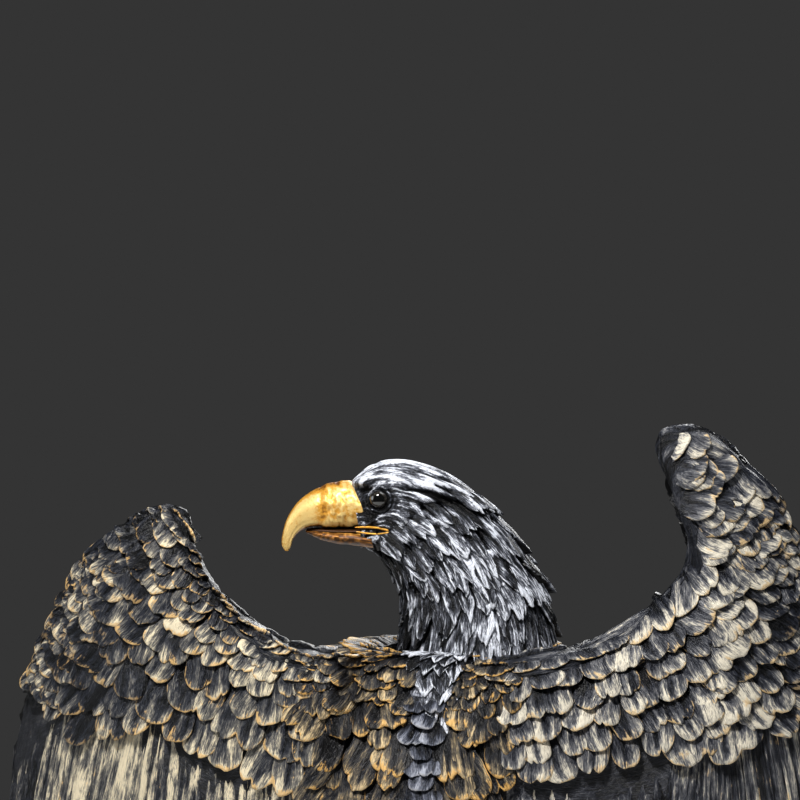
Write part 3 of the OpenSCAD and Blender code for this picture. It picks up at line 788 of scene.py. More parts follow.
def blurred(field, axis):
    """One pass of a three-cell blur along an axis."""
    return sum(np.roll(field, s, axis) * k for s, k in ((-1, 0.25), (0, 0.5), (1, 0.25)))


def back_field():
    """Height of the back over x and z, read from the frame's own castings and smoothed over their seams."""
    points, polygons = [], []
    for node in ("body", "left_wing", "right_wing"):
        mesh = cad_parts[node].data
        first = len(points)
        points += [v.co.copy() for v in mesh.vertices]
        polygons += [[first + i for i in f.vertices] for f in mesh.polygons]
    tree = BVHTree.FromPolygons(points, polygons)
    cell, margin = 1.5, 24
    far, high = CAD_HI[0] * 1000 + margin, CAD_HI[2] * 1000 + margin
    xs, zs = np.arange(-far, far, cell), np.arange(high, PERCH, -cell)
    y = np.full((len(zs), len(xs)), np.nan)
    for i, z in enumerate(zs):
        for j, x in enumerate(xs):
            hit = tree.ray_cast(Vector((x / 1000, 0.2, z / 1000)), Vector((0, -1, 0)))[0]
            if hit is not None and hit.y * 1000 > 4 - 0.6 * max(abs(x) - 40, 0):
                y[i, j] = hit.y * 1000
    known = ~np.isnan(y)
    top = np.array([zs[np.argmax(known[:, j])] if known[:, j].any() else zs[-1] for j in range(len(xs))])
    inner = np.abs(xs) < ROOT_X + 1
    bridged = np.max([np.roll(top, s) for s in range(-9, 10)], axis=0)
    top = np.convolve(np.where(inner, bridged, top), np.ones(5) / 5, "same")
    value, weight = np.where(known, y, 0.0), known.astype(float)
    seam = (np.abs(np.abs(xs) - ROOT_X) < 12)[None]
    raised = np.max([np.where(np.roll(known, s, 1), np.roll(value, s, 1), -99) for s in range(-4, 5)], axis=0)
    value = np.where(known & seam, np.maximum(value, raised), value)
    for _ in range(14):
        for axis in (0, 1):
            value, weight = blurred(value, axis), blurred(weight, axis)
    y = value / np.maximum(weight, 1e-4)

    def at(x, z):
        over = np.clip(z - np.interp(x, xs, top) + 1.5, 0, np.where(np.abs(x) < ROOT_X + 14, 30, 3.5))
        fx = np.clip((x - xs[0]) / cell, 0, len(xs) - 1.001)
        fz = np.clip((zs[0] - z + over) / cell, 0, len(zs) - 1.001)
        i, j = fz.astype(int), fx.astype(int)
        a, b = fz - i, fx - j
        above = y[i, j] * (1 - b) + y[i, j + 1] * b
        below = y[i + 1, j] * (1 - b) + y[i + 1, j + 1] * b
        yy = above * (1 - a) + below * a
        return np.stack([x, yy - 0.8 * over, z - over], -1)

    def skyline(x):
        return np.interp(x, xs, top)

    return at, skyline


back, skyline = back_field()
LEAF_UNIT = 250.0


def leaves(bag, x, z, tilt, mm, kind, lift, gild, na=17, nb=13, ragged=1.0):
    """Lays feathers on the back, tips at x and z, each tilted from straight down by its own angle."""
    c, s = np.cos(tilt), np.sin(tilt)

    def at(u, v):
        each = (slice(None),) + (None,) * (np.ndim(u) - 1)
        right = LEAF_UNIT * (u * c[each] + v * s[each])
        up = LEAF_UNIT * (u * s[each] - v * c[each])
        return back(x[each] + right, z[each] + up)

    n = len(x)
    half = 0.5 * mm[0] * 1.18 * rng.uniform(0.82, 1.2, n) / LEAF_UNIT
    long = mm[1] * rng.uniform(0.9, 1.14, n)
    share = np.ones(n)
    for less in (0.85, 0.7, 0.55):  # a feather whose root would stand out over the outline gets shorter
        outside = z + long * share * c > skyline(x - long * share * s) + 1.0
        share = np.where(outside, less, share)
    long = long * share / LEAF_UNIT
    zero = np.zeros(n)
    plumes(bag, (at, 1, -9.0, 9.0), zero, zero, half, long, mm, kind, lift, gild, na, nb, 0.0, ragged)


def lean(table, x, z):
    """Angle outwards from straight down, blended between the table's (x, z, degrees) places."""
    t = np.asarray(table, float)
    w = ((x[:, None] - t[:, 0]) ** 2 + (z[:, None] - t[:, 1]) ** 2 + 9.0) ** -1.5
    return np.radians((w * t[:, 2]).sum(1) / w.sum(1))


LEFT_ROWS = [  # distance of the tips from the bare band, width, length, shape, brushed metal
    (1.0, 5, 7, "scale", 0.42),
    (4.5, 6, 9, "scale", 0.46),
    (10, 7.5, 12, "scale", 0.52),
    (15, 8.5, 13, "scale", 0.58),
    (21, 10, 16, "scale", 0.60),
    (30, 10.5, 18, "covert", 0.60),
    (40, 11, 21, "covert", 0.60),
    (51, 12, 25, "covert", 0.62),
    (65, 13, 33, "covert", 0.62),
    (80, 13, 36, "covert", 0.62),
    (96, 13, 36, "covert", 0.60),
]
RIGHT_ROWS = [
    (5.5, 11, 12, "scale", 0.62),
    (13, 10, 15, "scale", 0.56),
    (21, 9.5, 15, "covert", 0.57),
    (29, 9.5, 17, "covert", 0.57),
    (37, 10, 18, "covert", 0.57),
    (45, 11, 21, "covert", 0.57),
    (53, 12.5, 25, "covert", 0.57),
    (66, 13.5, 32, "covert", 0.56),
    (80, 13.5, 36, "covert", 0.56),
]
LEFT_LEANS = [
    (30, 168, 4), (55, 178, 12), (75, 190, 26), (88, 210, 44), (97, 222, 56), (112, 212, 50), (128, 195, 38),
    (150, 160, 27), (80, 160, 13), (110, 165, 24), (135, 145, 22), (60, 130, 6), (100, 125, 10),
]
RIGHT_LEANS = [
    (30, 168, 5), (60, 174, 14), (84, 188, 38), (98, 212, 52), (92, 240, 60), (100, 252, 66), (118, 240, 60),
    (135, 212, 48), (112, 190, 46), (130, 155, 34), (150, 150, 32), (70, 145, 14),
    (100, 140, 24), (160, 120, 20),
]
OUTER_FROM, OUTER_TO = 0.80, 0.985  # shares of the leading edge that carry the outermost feathers
LOWEST_X = [30, 50, 80, 120, 142, 156]
LEFT_LOWEST = [108, 117, 129, 132, 118, 96]
RIGHT_LOWEST = [114, 119, 126, 134, 140, 120]


def lay_coverts(bag, surface, side, reach, rows, leans, lowest, band, outer_shade_x):
    """Rows of scale feathers that follow the leading edge at even distances, on the wing's back."""
    s = np.linspace(0, 1, 400)
    edge = surface[0](s, 0.0)[:, ::2]
    along = np.gradient(edge, axis=0)
    inward = side * np.stack([along[:, 1], -along[:, 0]], -1) / np.linalg.norm(along, axis=1, keepdims=True)
    for k, (d, wide, long, kind, gild) in enumerate(rows):
        far = d + band(s)
        p = edge + inward * far[:, None]
        p = p[np.linalg.norm(p[:, None] - edge[None], axis=-1).min(1) > far - 0.5]
        run = np.concatenate([[0], np.cumsum(np.linalg.norm(np.diff(p, axis=0), axis=1))])
        n = int(round(run[-1] / wide))
        where = (np.arange(n) + 0.25 + 0.5 * (k % 2)) / n * run[-1] + rng.uniform(-0.2, 0.2, n) * wide
        x, z = (np.interp(where, run, p[:, c]) + rng.uniform(-1.2, 1.2, n) for c in (0, 1))
        tx, tz = (np.abs(x) - ROOT_X) / reach + 30, (z - PERCH) / KZ
        keep = (tz > np.interp(tx, LOWEST_X, lowest)) & (tx > 26)
        x, z, tx, tz = x[keep], z[keep], tx[keep], tz[keep]
        tilt = side * (lean(leans, tx, tz) + rng.normal(0, 0.11, len(x)))
        # dark marks the outer part of the wing, which gets less rubbed metal and more lift: painted shade
        # where the wing turns away from the light
        dark = step(outer_shade_x, outer_shade_x + 28, tx)
        brushed = gild - 0.34 * dark - 0.03 * step(222, 246, tz) + 0.14 * (rng.random(len(x)) - 0.5)
        lift = 1.2 + 0.012 * d + (0.5 * dark + 0.9 * rng.random(len(x)))[:, None, None]
        outer = tx > outer_shade_x + 24
        longer = (wide + 0.5, long * 1.3 + 4)
        for part, size, shape in ((~outer, (wide, long), kind), (outer, longer, "covert")):
            leaves(bag, x[part], z[part], tilt[part], size, shape, lift[part], brushed[part])
    n = 13
    for d, phase in ((13.0, 0.0), (6.0, 0.5), (-1.5, 0.0)):
        share = OUTER_FROM + (np.arange(n) + phase) * (OUTER_TO - OUTER_FROM) / n
        spot = np.interp(share, s, np.arange(len(s))).astype(int)
        x, z = (edge + inward * d)[spot].T
        slope = np.arctan2(along[spot, 0], -along[spot, 1]) + side * np.radians(rng.uniform(10, 26, n))
        leaves(bag, x, z, slope, (8.5, 19), "covert", 2.2, rng.uniform(0.22, 0.46, n))


FRONT_ROWS = [
    (10, 10, 12, "scale"),
    (20, 11, 15, "scale"),
    (31, 12, 18, "covert"),
    (44, 12.5, 22, "covert"),
    (62, 14, 32, "covert"),
]
FLIGHT_FEATHERS = 19


def make_wing(name, table, side, node, rows, leans, lowest, bare, from_u, to_u, outer_shade_u, outer_shade_x,
              material):
    reach = abs(span(node)[1 if side > 0 else 0][0] - side * ROOT_X) / (wing_reach(table) - 30)
    bag = Bag()
    for face in (1, -1):
        surface = wing_surface(table, side, face, reach)
        place_at, length = chord(surface)
        fine = face > 0

        def size(u, length=length):
            return np.clip(length(u) / 145, 0.5, 1.0)

        def band(u):
            return 0.5 + bare * step(from_u - 0.12, from_u + 0.14, u) * step(to_u + 0.08, to_u - 0.06, u)

        def skin_shape(u, v):
            lead = bump(v, 0, 0.14)
            lines = noise(v * 120 + 3.0 * noise(u * 11, v * 8, 3), u * 30, 5)
            broad = noise(v * 46 + 2.0 * noise(u * 7, v * 6, 8), u * 17, 2)
            grit = 0.10 * (noise(u * 150, v * 30, 9) - 0.5)
            return lead * (0.9 * (lines - 0.5) + 1.1 * (broad - 0.5)) + grit

        us = np.linspace(0, 1, 260 if fine else 140)
        vs = np.concatenate([np.linspace(0, 0.2, 60), np.linspace(0.2, 1, 30)[1:]])
        u, v = np.meshgrid(us, vs)
        scallop = 1 - 0.055 * np.abs(2 * np.mod(u * FLIGHT_FEATHERS, 1) - 1) ** 2.4 * step(0.6, 1, v)
        v = v * scallop
        shape = skin_shape(u, v)
        p = surface[0](u, v) + normals(surface, u, v) * (shape - 0.3)[..., None]
        quads = grid_quads(len(vs), len(us))
        values = plain_values(u.shape, along=0.5, gild=0.36 if fine else 0.22)
        values[..., 2] = np.clip(0.5 + 0.85 * shape, 0, 1)
        values[..., 5], values[..., 6], values[..., 7] = v * 150, u * 240, 3 * face
        bag.add(p, quads if surface[1] > 0 else quads[:, ::-1], values)
        if fine:
            lay_coverts(bag, surface, side, reach, rows, leans, lowest, band, outer_shade_x)
        for k, (d, wide, long, kind) in enumerate([] if fine else FRONT_ROWS):

            def v_of(u, d=d):
                return place_at(u, band(u) + d * size(u))

            u, v, du, dv = row(surface, v_of, 0.0, 1.0, wide, long, k, 1.2)
            dv = dv * size(u)
            # far takes rubbed metal off the front rows towards the outer part: painted shade
            far = step(outer_shade_u, outer_shade_u + 0.2, u + 0.03 * k - 0.08)
            plumes(bag, surface, u, v, du, dv, (wide, long), kind, 1.3 + 0.006 * d, 0.36 - 0.2 * far, 11, 9)
        n = FLIGHT_FEATHERS
        # the right wing's flight feathers get less rubbed metal than the left's: painted shade where the
        # light falls off on its lower part
        flight_gild_and_shade = 0.69 if side > 0 else 0.44
        layers = ((0.992, 46, flight_gild_and_shade), (0.86, 50, flight_gild_and_shade + 0.04)) if fine else ((0.992, 46, 0.36),)
        for layer, (low, long, amount) in enumerate(layers):
            u = (np.arange(n) + 0.5 + 0.5 * layer) / n
            u = u[u < 1]
            tip = low - rng.uniform(0, 0.03, len(u)) * (layer > 0)
            root = place_at(u, long * size(u))
            # the outer flight feathers get less rubbed metal: painted shade
            gild = amount - 0.34 * step(outer_shade_u + 0.18, min(1.05, outer_shade_u + 0.35), u)
            half = np.full(len(u), 0.62 / n)
            plumes(bag, surface, u, tip, half, tip - root, (11, 90), "flight", 0.7 + 0.7 * layer,
                   gild, 19 if fine else 11, 34 if fine else 22, 0.9 * side, 0.35, 0.35)
    return bag.make(name, material, node)


def wing_reach(table):
    at = wing_surface(table, 1, 1, 1.0)[0]
    u, v = np.meshgrid(np.linspace(0, 1, 80), np.linspace(0, 1, 80))
    return at(u, v)[..., 0].max() - ROOT_X + 30


make_wing("left_wing_feathers", LEFT_RIBS, 1, "left_wing", LEFT_ROWS, LEFT_LEANS, LEFT_LOWEST,
          0.6, 0.2, 0.6, 0.52, 92, FEATHER)
make_wing("right_wing_feathers", RIGHT_RIBS, -1, "right_wing", RIGHT_ROWS, RIGHT_LEANS, RIGHT_LOWEST,
          8.5, 0.2, 0.64, 0.80, 124, COOL_FEATHER)

# ------------------------------------------------------------------ back, breast and thighs


mantle = Bag()
z = NECK_Z + 7
k = 0
while z > PERCH + 40 * KZ:
    low = step(NECK_Z + 5, NECK_Z - 24, z)
    wide, long, gap = 5.2 + 3.9 * low, 8 + 15 * low, 3.8 + 4.8 * low
    reach = 43 if z > PERCH + 84 * KZ else 30
    n = int(2 * reach / wide)
    x = (np.arange(n) - (n - 1) / 2 + 0.5 * (k % 2)) * wide + rng.uniform(-0.28, 0.28, n) * wide
    tip = z - 9 * bump(x, -5, 20) * step(NECK_Z - 45, NECK_Z - 5, z) + rng.uniform(-0.35, 0.35, n) * gap
    keep = np.abs(x + 4.5) > 6.8
    x, tip = x[keep], tip[keep]
    tilt = np.radians(9 + 0.5 * x) + rng.normal(0, 0.22, len(x))
    lift = 1.2 + (0.6 + 1.8 * low) * rng.random((len(x), 1, 1))
    brushed = 0.50 + 0.07 * low + 0.24 * (rng.random(len(x)) - 0.5)
    leaves(mantle, x, tip, tilt, (wide, long), "mantle" if low > 0.2 else "scale", lift, brushed)
    z -= gap
    k += 1
mantle.make("mantle_feathers", MANTLE)

column = Bag()
z = NECK_Z + 1
k = 0
while z > PERCH + 60 * KZ:
    n = 1 + k % 2
    x = (np.array([-4.5]) if n == 1 else np.array([-8.3, -0.7])) + rng.uniform(-0.9, 0.9, n)
    leaves(column, x, np.full(n, z), rng.normal(0.08, 0.12, n), (8.5, 12), "scale", 2.4, np.full(n, 0.55))
    z -= 5.2
    k += 1
column.make("spine_feathers", SPINE)


collar, shawl = Bag(), Bag()
ruff = ring_surface(COLLAR, KB, KD, KZ)
skin(collar, ruff, around(160), np.linspace(0, 1, 40), 0.5, True, along=0.3, gild=0.3)
for k in range(8):
    tip = 0.10 + k * 0.125
    wide, long = 5.4 + 1.8 * tip, 8 + 5 * tip

    def wavy(u, t=tip):
        return t + 0.05 * (noise(u * 13, t * 30, 4) - 0.5)

    u, v, du, dv = row(ruff, wavy, 0.0, 1.0, wide, long, k, 1.5, closed=True)
    p = ruff[0](u, v)
    silver = (np.abs(p[:, 0] + 8) < 18 - 12 * tip) & (p[:, 1] > 0)
    gold_and_silver = ((collar, ~silver, 1.0, "scale", 0.5), (shawl, silver, 1.5, "lance", 0.48))
    for bag, part, size, kind, gild in gold_and_silver:
        count = part.sum()
        brushed = gild + 0.2 * (rng.random(count) - 0.5)
        plumes(bag, ruff, u[part], v[part], du[part], size * dv[part], (wide, size * long), kind, 1.3,
               brushed, 13, 10)
collar.make("collar_feathers", MANTLE)
shawl.make("nape_shawl", HACKLE)

torso = ring_surface(TORSO, KB, KD, KZ)
breast = Bag()
skin(breast, torso, around(160), np.linspace(0, 1, 60), 0.9, True, along=0.3, gild=0.3)
for k in range(19):
    tip = 0.045 + k * 0.052
    wide, long = 9.5 + 2.5 * tip, 13 + 5 * tip
    u, v, du, dv = row(torso, lambda u, t=tip: t + 0 * u, 0.47, 1.03, wide, long, k)
    p = torso[0](u, v)
    keep = ~((np.abs(p[:, 0]) > ROOT_X - 6) & (p[:, 1] > SEAT_Y - 4))
    u, v, du, dv = u[keep], v[keep], du[keep], dv[keep]
    plumes(breast, torso, u, v, du, dv, (wide, long), "scale", 1.3, np.full(len(u), 0.5), 13, 10)
for side in (-1, 1):
    thigh = ring_surface(THIGH, 1, 1, KZ, side, side * LEG_X)
    skin(breast, thigh, around(60), np.linspace(0.1, 1, 30), 0.7, True, along=0.3, gild=0.3)
    for k in range(13):
        tip = 0.20 + k * 0.068
        wide, long = 7.5 - 1.5 * tip, 17
        u, v, du, dv = row(thigh, lambda u, t=tip: t + 0 * u, 0.0, 1.0, wide, long, k, closed=True)
        plumes(breast, thigh, u, v, du, dv, (wide, long), "lance", 1.2, np.full(len(u), 0.5), 11, 10)
breast.make("breast_feathers", FEATHER, "body")

# ------------------------------------------------------------------ tail


def tail_surface(face):
    def at(u, v):
        u, v = np.broadcast_arrays(np.asarray(u, float), np.asarray(v, float))
        q = smooth(TAIL, np.clip(v, 0, 1))
        x = (2 * u - 1) * q[..., 3] * 0.98
        thick = q[..., 4] * np.sqrt(np.clip(1 - (2 * u - 1) ** 2, 0.02, 1)) ** 0.7
        z = q[..., 0] + 7 * (2 * u - 1) ** 2 * v * v - 30 * np.maximum(v - 1, 0)
        return np.stack([x, q[..., 2] * KD + face * thick, PERCH + z * KZ], -1)

    return at, face, 0.005, 1.0


tail = Bag()
for face in (1, -1):
    surface = tail_surface(face)
    us, vs = np.linspace(0, 1, 80), np.linspace(0, 0.95, 40)
    skin(tail, surface, us, vs, 0.4, along=0.3, gild=0.3)
    n = 12
    for half in (-1, 1):
        u = 0.5 + half * (np.arange(n // 2) + 0.5) / n
        tip = 0.995 - 0.05 * np.abs(2 * u - 1)
        plumes(tail, surface, u, tip, np.full(len(u), 0.056), tip - 0.1, (8, 80), "flight", 1.0,
               np.full(len(u), 0.55), 13, 34, -0.8 * half * face, 0.4)
    for k, tip in enumerate((0.10, 0.22, 0.36, 0.52) if face > 0 else (0.10, 0.26)):
        u, v, du, dv = row(surface, lambda u, t=tip: t + 0.10 * np.sin(math.pi * u), 0.03, 0.97, 9 + k, 22, k)
        plumes(tail, surface, u, v, du, dv, (9 + k, 22), "covert", 1.8, np.full(len(u), 0.55))
tail.make("tail_feathers", FEATHER, "tail")

# ------------------------------------------------------------------ head and neck


def scratch(x, z, path, width):
    """Groove along a bent line of (reach, height) points."""
    near = np.full_like(x, 1e6)
    for (x0, z0), (x1, z1) in zip(path[:-1], path[1:]):
        t = np.clip(((x - x0) * (x1 - x0) + (z - z0) * (z1 - z0)) / ((x1 - x0) ** 2 + (z1 - z0) ** 2), 0, 1)
        near = np.minimum(near, np.hypot(x - x0 - t * (x1 - x0), z - z0 - t * (z1 - z0)))
    return bump(near, 0, width)


EYE_X, EYE_Z = EYE_AHEAD, EYE_UP
FACE_GROOVES = [  # line of the groove, half width, depth
    ([(42.5, 66.5), (38, 68.3), (32, 68.6), (26, 67.3), (16, 66.2), (7, 62.5)], 0.9, 1.3),
    ([(19, 60.5), (13, 61.2), (6, 58.5), (-1, 52), (-5, 46)], 1.5, 1.7),
    ([(23, 53.5), (17, 52), (9, 51.5), (2, 47), (-2, 40)], 1.4, 1.6),
    ([(33, 51), (27, 52.4), (21, 55.5), (17, 56.5)], 0.5, 0.9),
    ([(31, 50), (25, 48), (18, 46.5), (12, 42)], 0.8, 1.2),
    ([(14, 68.5), (4, 64), (-4, 57)], 0.7, 0.9),
]


def face_relief(p):
    """Brow, eye socket, lids, cheek, gape and the long grooves on head coordinates (reach, side, height)."""
    x, y, z = p[..., 0], p[..., 1], p[..., 2]
    out = step(3, 8, np.abs(y))
    d = np.hypot(x - EYE_X, (z - EYE_Z) * 0.94)
    h = -2.2 * bump(d, 0, 6.2) + 1.3 * bump(d, 4.3, 0.5) + 0.7 * bump(d, 5.7, 0.5) * step(2, -1, z - EYE_Z)
    brow = 68.2 - 0.0035 * (x - 36) ** 2
    above = z - brow
    ledge = np.where(above > 0, bump(above, 0, 3.6), bump(above, 0, 0.7))
    ledge = ledge * step(20, 28, x) * step(48.5, 44.5, x)
    h = h * (1 - 0.85 * ledge) + 2.3 * ledge
    h = h + 1.3 * bump(np.hypot((x - 26.5) / 1.9, z - 56.8 + 0.25 * (x - 26.5)), 0, 3.0)
    h = h - 0.9 * bump(z - 51.6, 0, 0.8) * step(32, 34.5, x)
    for path, width, depth in FACE_GROOVES:
        h = h - depth * scratch(x, z, path, width)
    return out * h


head = head_surface()
us = around(340)
vs = np.concatenate([np.linspace(0, 0.42, 180), np.linspace(0.42, 1.02, 90)[1:]])
u, v = np.meshgrid(us, vs)
base = head[0](u, v)
n = normals(head, u, v)
local = (base - NECK) / KH
local = np.stack([local @ AHEAD, local @ ACROSS, local[..., 2]], -1)
relief = face_relief(local)
bend = 2.4 * noise(v * 6, u * 5, 4)
deep = noise(u * 27 + bend, v * 6.5, 8)
locks = noise(u * 62 + 2 * bend, v * 12, 6)
hairs = noise(u * 135 + 3 * bend, v * 19, 3)
on_side = step(4, 8, np.abs(local[..., 1]))
eye_near = bump(np.hypot(local[..., 0] - EYE_X, local[..., 2] - EYE_Z), 0, 6.8) * on_side
lores = bump(np.hypot((local[..., 0] - 42) / 0.8, (local[..., 2] - 57) / 1.6), 0, 5) * on_side
calm = (1 - eye_near) * (1 - 0.6 * lores) * step(0.0, 0.04, v)
crown = step(61, 67, local[..., 2]) * step(-12, 8, local[..., 0])
cut = step(0.47, 0.27, deep) * step(0.05, 0.20, v) * calm * (1 - crown)
wisps = (0.95 * (locks - 0.5) + 0.55 * (hairs - 0.5)) * calm - 1.5 * cut
grain = 0.35 * (noise(u * 190, v * 150, 7) - 0.5) * np.maximum(eye_near, lores)
height = (relief + wisps + grain) * step(0.0, 0.02, v) - 0.35
values = plain_values(u.shape, along=0.68, gild=0.55)
deepest = np.clip(-relief - 0.5, 0, 1.2) * (1 - 0.5 * eye_near)
proud = 0.66 + 0.8 * (locks - 0.5) + 0.9 * (hairs - 0.5) - 1.0 * cut - 1.0 * deepest + 0.15 * relief
values[..., 2] = np.clip(proud, -0.5, 1.2)
# throat_shade darkens the front of the neck: painted shade where the light falls off; crown lightens the top
# of the head a little: painted light
throat_shade = step(0.45, 0.9, np.cos(2 * math.pi * u)) * step(0.12, 0.3, v)
values[..., 4] += 0.10 * crown - 0.30 * eye_near - 0.22 * lores - 0.30 * throat_shade
values[..., 5], values[..., 6], values[..., 7] = u * 95 + bend, v * 150, 11.0
quads = grid_quads(len(vs), len(us), True)
face = Bag()
face.add(base + n * (height * KH)[..., None], quads[:, ::-1], values)
face.make("head_face", HACKLE, "head")
face_points = local.copy()
face_points[..., 1] += np.sign(local[..., 1]) * height * 0.97
near_side = face_points[(local[..., 1] > 3) & (v < 0.4)]

HACKLE_ROWS = [  # place of the tips down the neck, width, length
    (0.54, 4.5, 18), (0.60, 5, 19), (0.66, 5, 20), (0.72, 5.5, 21), (0.78, 6, 22), (0.845, 6, 22),
    (0.91, 6.5, 23), (0.98, 7, 23), (1.05, 7, 22),
]
neck = Bag()
for k, (v_tip, wide, long) in enumerate(HACKLE_ROWS):

    def v_of(u, t=v_tip):
        return t + 0.035 * np.cos(4 * math.pi * u) * (1 - t) + 0.03 * (noise(u * 11, t * 40, 3) - 0.5)

    u, v, du, dv = row(head, v_of, 0.0, 1.0, wide, long, k, 1.5, closed=True)
    if v_tip < 0.68:
        keep = (rng.random(len(u)) < 0.75) & (np.cos(2 * math.pi * u) < 0.75)
        u, v, du, dv = u[keep], v[keep], du[keep], dv[keep]
    shaded = 0.54 - 0.30 * step(0.35, 0.9, np.cos(2 * math.pi * u)) + 0.20 * (rng.random(len(u)) - 0.5)
    lift = 0.9 + 1.1 * v_tip * rng.random((len(u), 1, 1))
    plumes(neck, head, u, v, du, dv, (wide, long), "lance", lift, shaded, 15, 14, 0.0, 2.6, 0.55)
u, v = 0.5 + 0.05 * np.sin(np.arange(7) * 2.1), np.linspace(0.66, 0.92, 7)
plumes(neck, head, u, v, np.full(7, 0.02), np.full(7, 0.15), (6, 19), "lance", 3.8, np.full(7, 0.20),
       15, 14, 0.0, 2.6, 0.5)
u = 0.5 + 0.10 * np.array([-1.6, -1.0, -0.55, -0.1, 0.3, 0.75, 1.1, 1.7])
v = 1.05 + 0.06 * bump(u, 0.5, 0.06)
plumes(neck, head, u, v, np.full(8, 0.022), np.full(8, 0.2), (8, 26), "lance", 6.5,
       np.full(8, 0.58), 17, 16, 0.0, 2.6, 0.5)
neck.make("head_hackles", HACKLE)


def beak_piece(name, table, material, node, relief):
    us, vs = around(96), np.linspace(0, 1, 120)
    u, v = np.meshgrid(us, vs)
    q = smooth(table, v)
    p = head_point(q, 2 * math.pi * u)
    h, ridge, gild = relief(u, v, p)
    if node == "beak_upper":
        seat = step(0.08, 0, v) * bump(p[..., 2], 58, 9)
        p = p + np.stack([-3.0 * seat, 0.14 * seat * p[..., 1], 0 * seat], -1)
    else:
        seat = step(0.14, 0, v)
        p = p + np.stack([-4.2 * seat, 0.22 * seat * p[..., 1], -0.9 * seat], -1)
    out = p - p.mean(axis=1, keepdims=True)
    out = out / np.maximum(np.linalg.norm(out, axis=-1, keepdims=True), 1e-6)
    p = p + out * h[..., None]
    values = plain_values(u.shape, along=v)
    values[..., 2], values[..., 4] = ridge, gild
    bag = Bag()
    quads = grid_quads(len(vs), len(us), True)
    bag.add(from_head(p), quads, values)
    cap = from_head(p[-1].mean(axis=0, keepdims=True))
    ring = from_head(p[-1])
    i = np.arange(len(us))
    fan = np.stack([i, (i + 1) % len(us), np.full_like(i, len(us)), np.full_like(i, len(us))], -1)
    bag.add(np.concatenate([ring, cap]), fan, np.repeat(values[-1:, :1], len(us) + 1, 1).reshape(-1, 8))
    if node == "beak_lower":
        q = smooth(table, v * 0.93)
        q[..., 4] -= 1.3
        q[..., 1], q[..., 3] = q[..., 1] + 0.75, q[..., 1] - 1.5
        q[..., 2] = q[..., 0]
        mouth = from_head(head_point(q, 2 * math.pi * u))
        bag.add(mouth, quads, plain_values(u.shape, ridge=-1.0, gild=-1.0))
    return bag.make(name, material, node)


def upper_relief(u, v, p):
    x, z = p[..., 0], p[..., 2]
    lower = 0.5 + 0.5 * np.cos(2 * math.pi * u)
    cere = step(58.5, 55.5, x + 0.16 * (z - 60) + 1.2 * (noise(z * 0.5, u * 3, 2) - 0.5))
    rough = noise(x * 0.75, z * 0.6, 3) * 0.55 + noise(x * 1.7, z * 1.3 + 5, 4) * 0.45
    crest = step(0.20, 0.05, lower)
    h = cere * (0.35 + 1.3 * (rough - 0.5) * (1 - 0.7 * crest)) * step(0.0, 0.03, v)
    h = h - 0.3 * bump(x, 57.5, 0.8)
    lip = bump(lower, 0.86, 0.06) * step(1.0, 0.75, v)
    h = h + 0.35 * lip - 0.9 * bump(np.hypot(x - 54, z - 58.5), 0, 1.0)
    # underside_shade and top take gilt off along the underside and along the culmen: painted shade
    underside_shade = step(0.90, 0.97, lower)
    top = step(0.12, 0.0, lower)
    gild = 0.72 - 0.75 * underside_shade - 0.40 * top - 0.10 * cere - 0.15 * step(0.90, 1.0, v)
    # lip adds gilt on the gape line; the dip at the front edge of the cere loses gilt: painted shade in that
    # groove
    gild = gild + 0.18 * lip - 0.18 * bump(x, 57, 2.2)
    ridge = np.clip(0.55 + cere * 0.9 * (rough - 0.46), 0, 1.1)
    return h, ridge, gild


def lower_relief(u, v, p):
    rough = noise(p[..., 0] * 1.1, p[..., 2] * 1.4, 9)
    top = step(0.2, 0.9, -np.cos(2 * math.pi * u))
    return 0.3 * (rough - 0.5), np.clip(0.35 + 0.7 * (rough - 0.4), 0, 1), 0.40 + 0.30 * top


beak_piece("beak_upper_gilt", BEAK, GILT, "beak_upper", upper_relief)
beak_piece("beak_lower_gilt", JAW, GILT_DARK, "beak_lower", lower_relief)


def tube(bag, path, radius, sides=12, **values):
    """Round bead along a path of head coordinates, tapering to its ends."""
    path = np.asarray(path, float)
    t = np.gradient(path, axis=0)
    t = t / np.linalg.norm(t, axis=1, keepdims=True)
    a = np.cross(t, [0.0, 1.0, 0.0])
    a = a / np.linalg.norm(a, axis=1, keepdims=True)
    b = np.cross(t, a)
    w = np.linspace(0, 2 * math.pi, sides, endpoint=False)
    r = np.asarray(radius)[:, None, None]
    p = path[:, None] + r * (a[:, None] * np.cos(w)[None, :, None] + b[:, None] * np.sin(w)[None, :, None])
    bag.add(from_head(p), grid_quads(len(path), sides, True), plain_values(p.shape[:2], **values))


gape = Bag()
for side in (-1, 1):
    for line, r in (([(44.5, 52.3), (40, 52.5), (36, 52.4), (33, 51.7), (31.2, 51.0)], 0.42),
                    ([(44, 50.6), (40.3, 50.1), (36, 49.9), (33.4, 50.4), (31.2, 50.9)], 0.30)):
        bends = np.array(line)
        t = np.linspace(0, len(line) - 1, 34)
        x, z = (np.interp(t, np.arange(len(line)), bends[:, c]) for c in (0, 1))
        gaps = (near_side[:, 0] - x[:, None]) ** 2 + (near_side[:, 2] - z[:, None]) ** 2
        width = near_side[gaps.argmin(axis=1), 1]
        width = np.convolve(np.pad(width, 3, mode="edge"), np.ones(7) / 7, "valid") + 0.2
        taper = r * np.sqrt(np.clip(np.minimum(t, len(line) - 1 - t) / 0.8 + 0.1, 0.05, 1))
        tube(gape, np.stack([x, side * width, z], -1), taper, ridge=0.5, gild=0.55)
gape.make("gape_gilt", GILT)

# ------------------------------------------------------------------ feet

TOE = [
    [-3, 9, 5], [0.25, 7.6, 5.4], [0.48, 5.4, 4.6], [0.68, 5, 4.7], [0.8, 6, 3.4], [0.93, 6.2, 2.2],
    [1.03, 4, 1.3], [1.07, 1.2, 0.5],
]


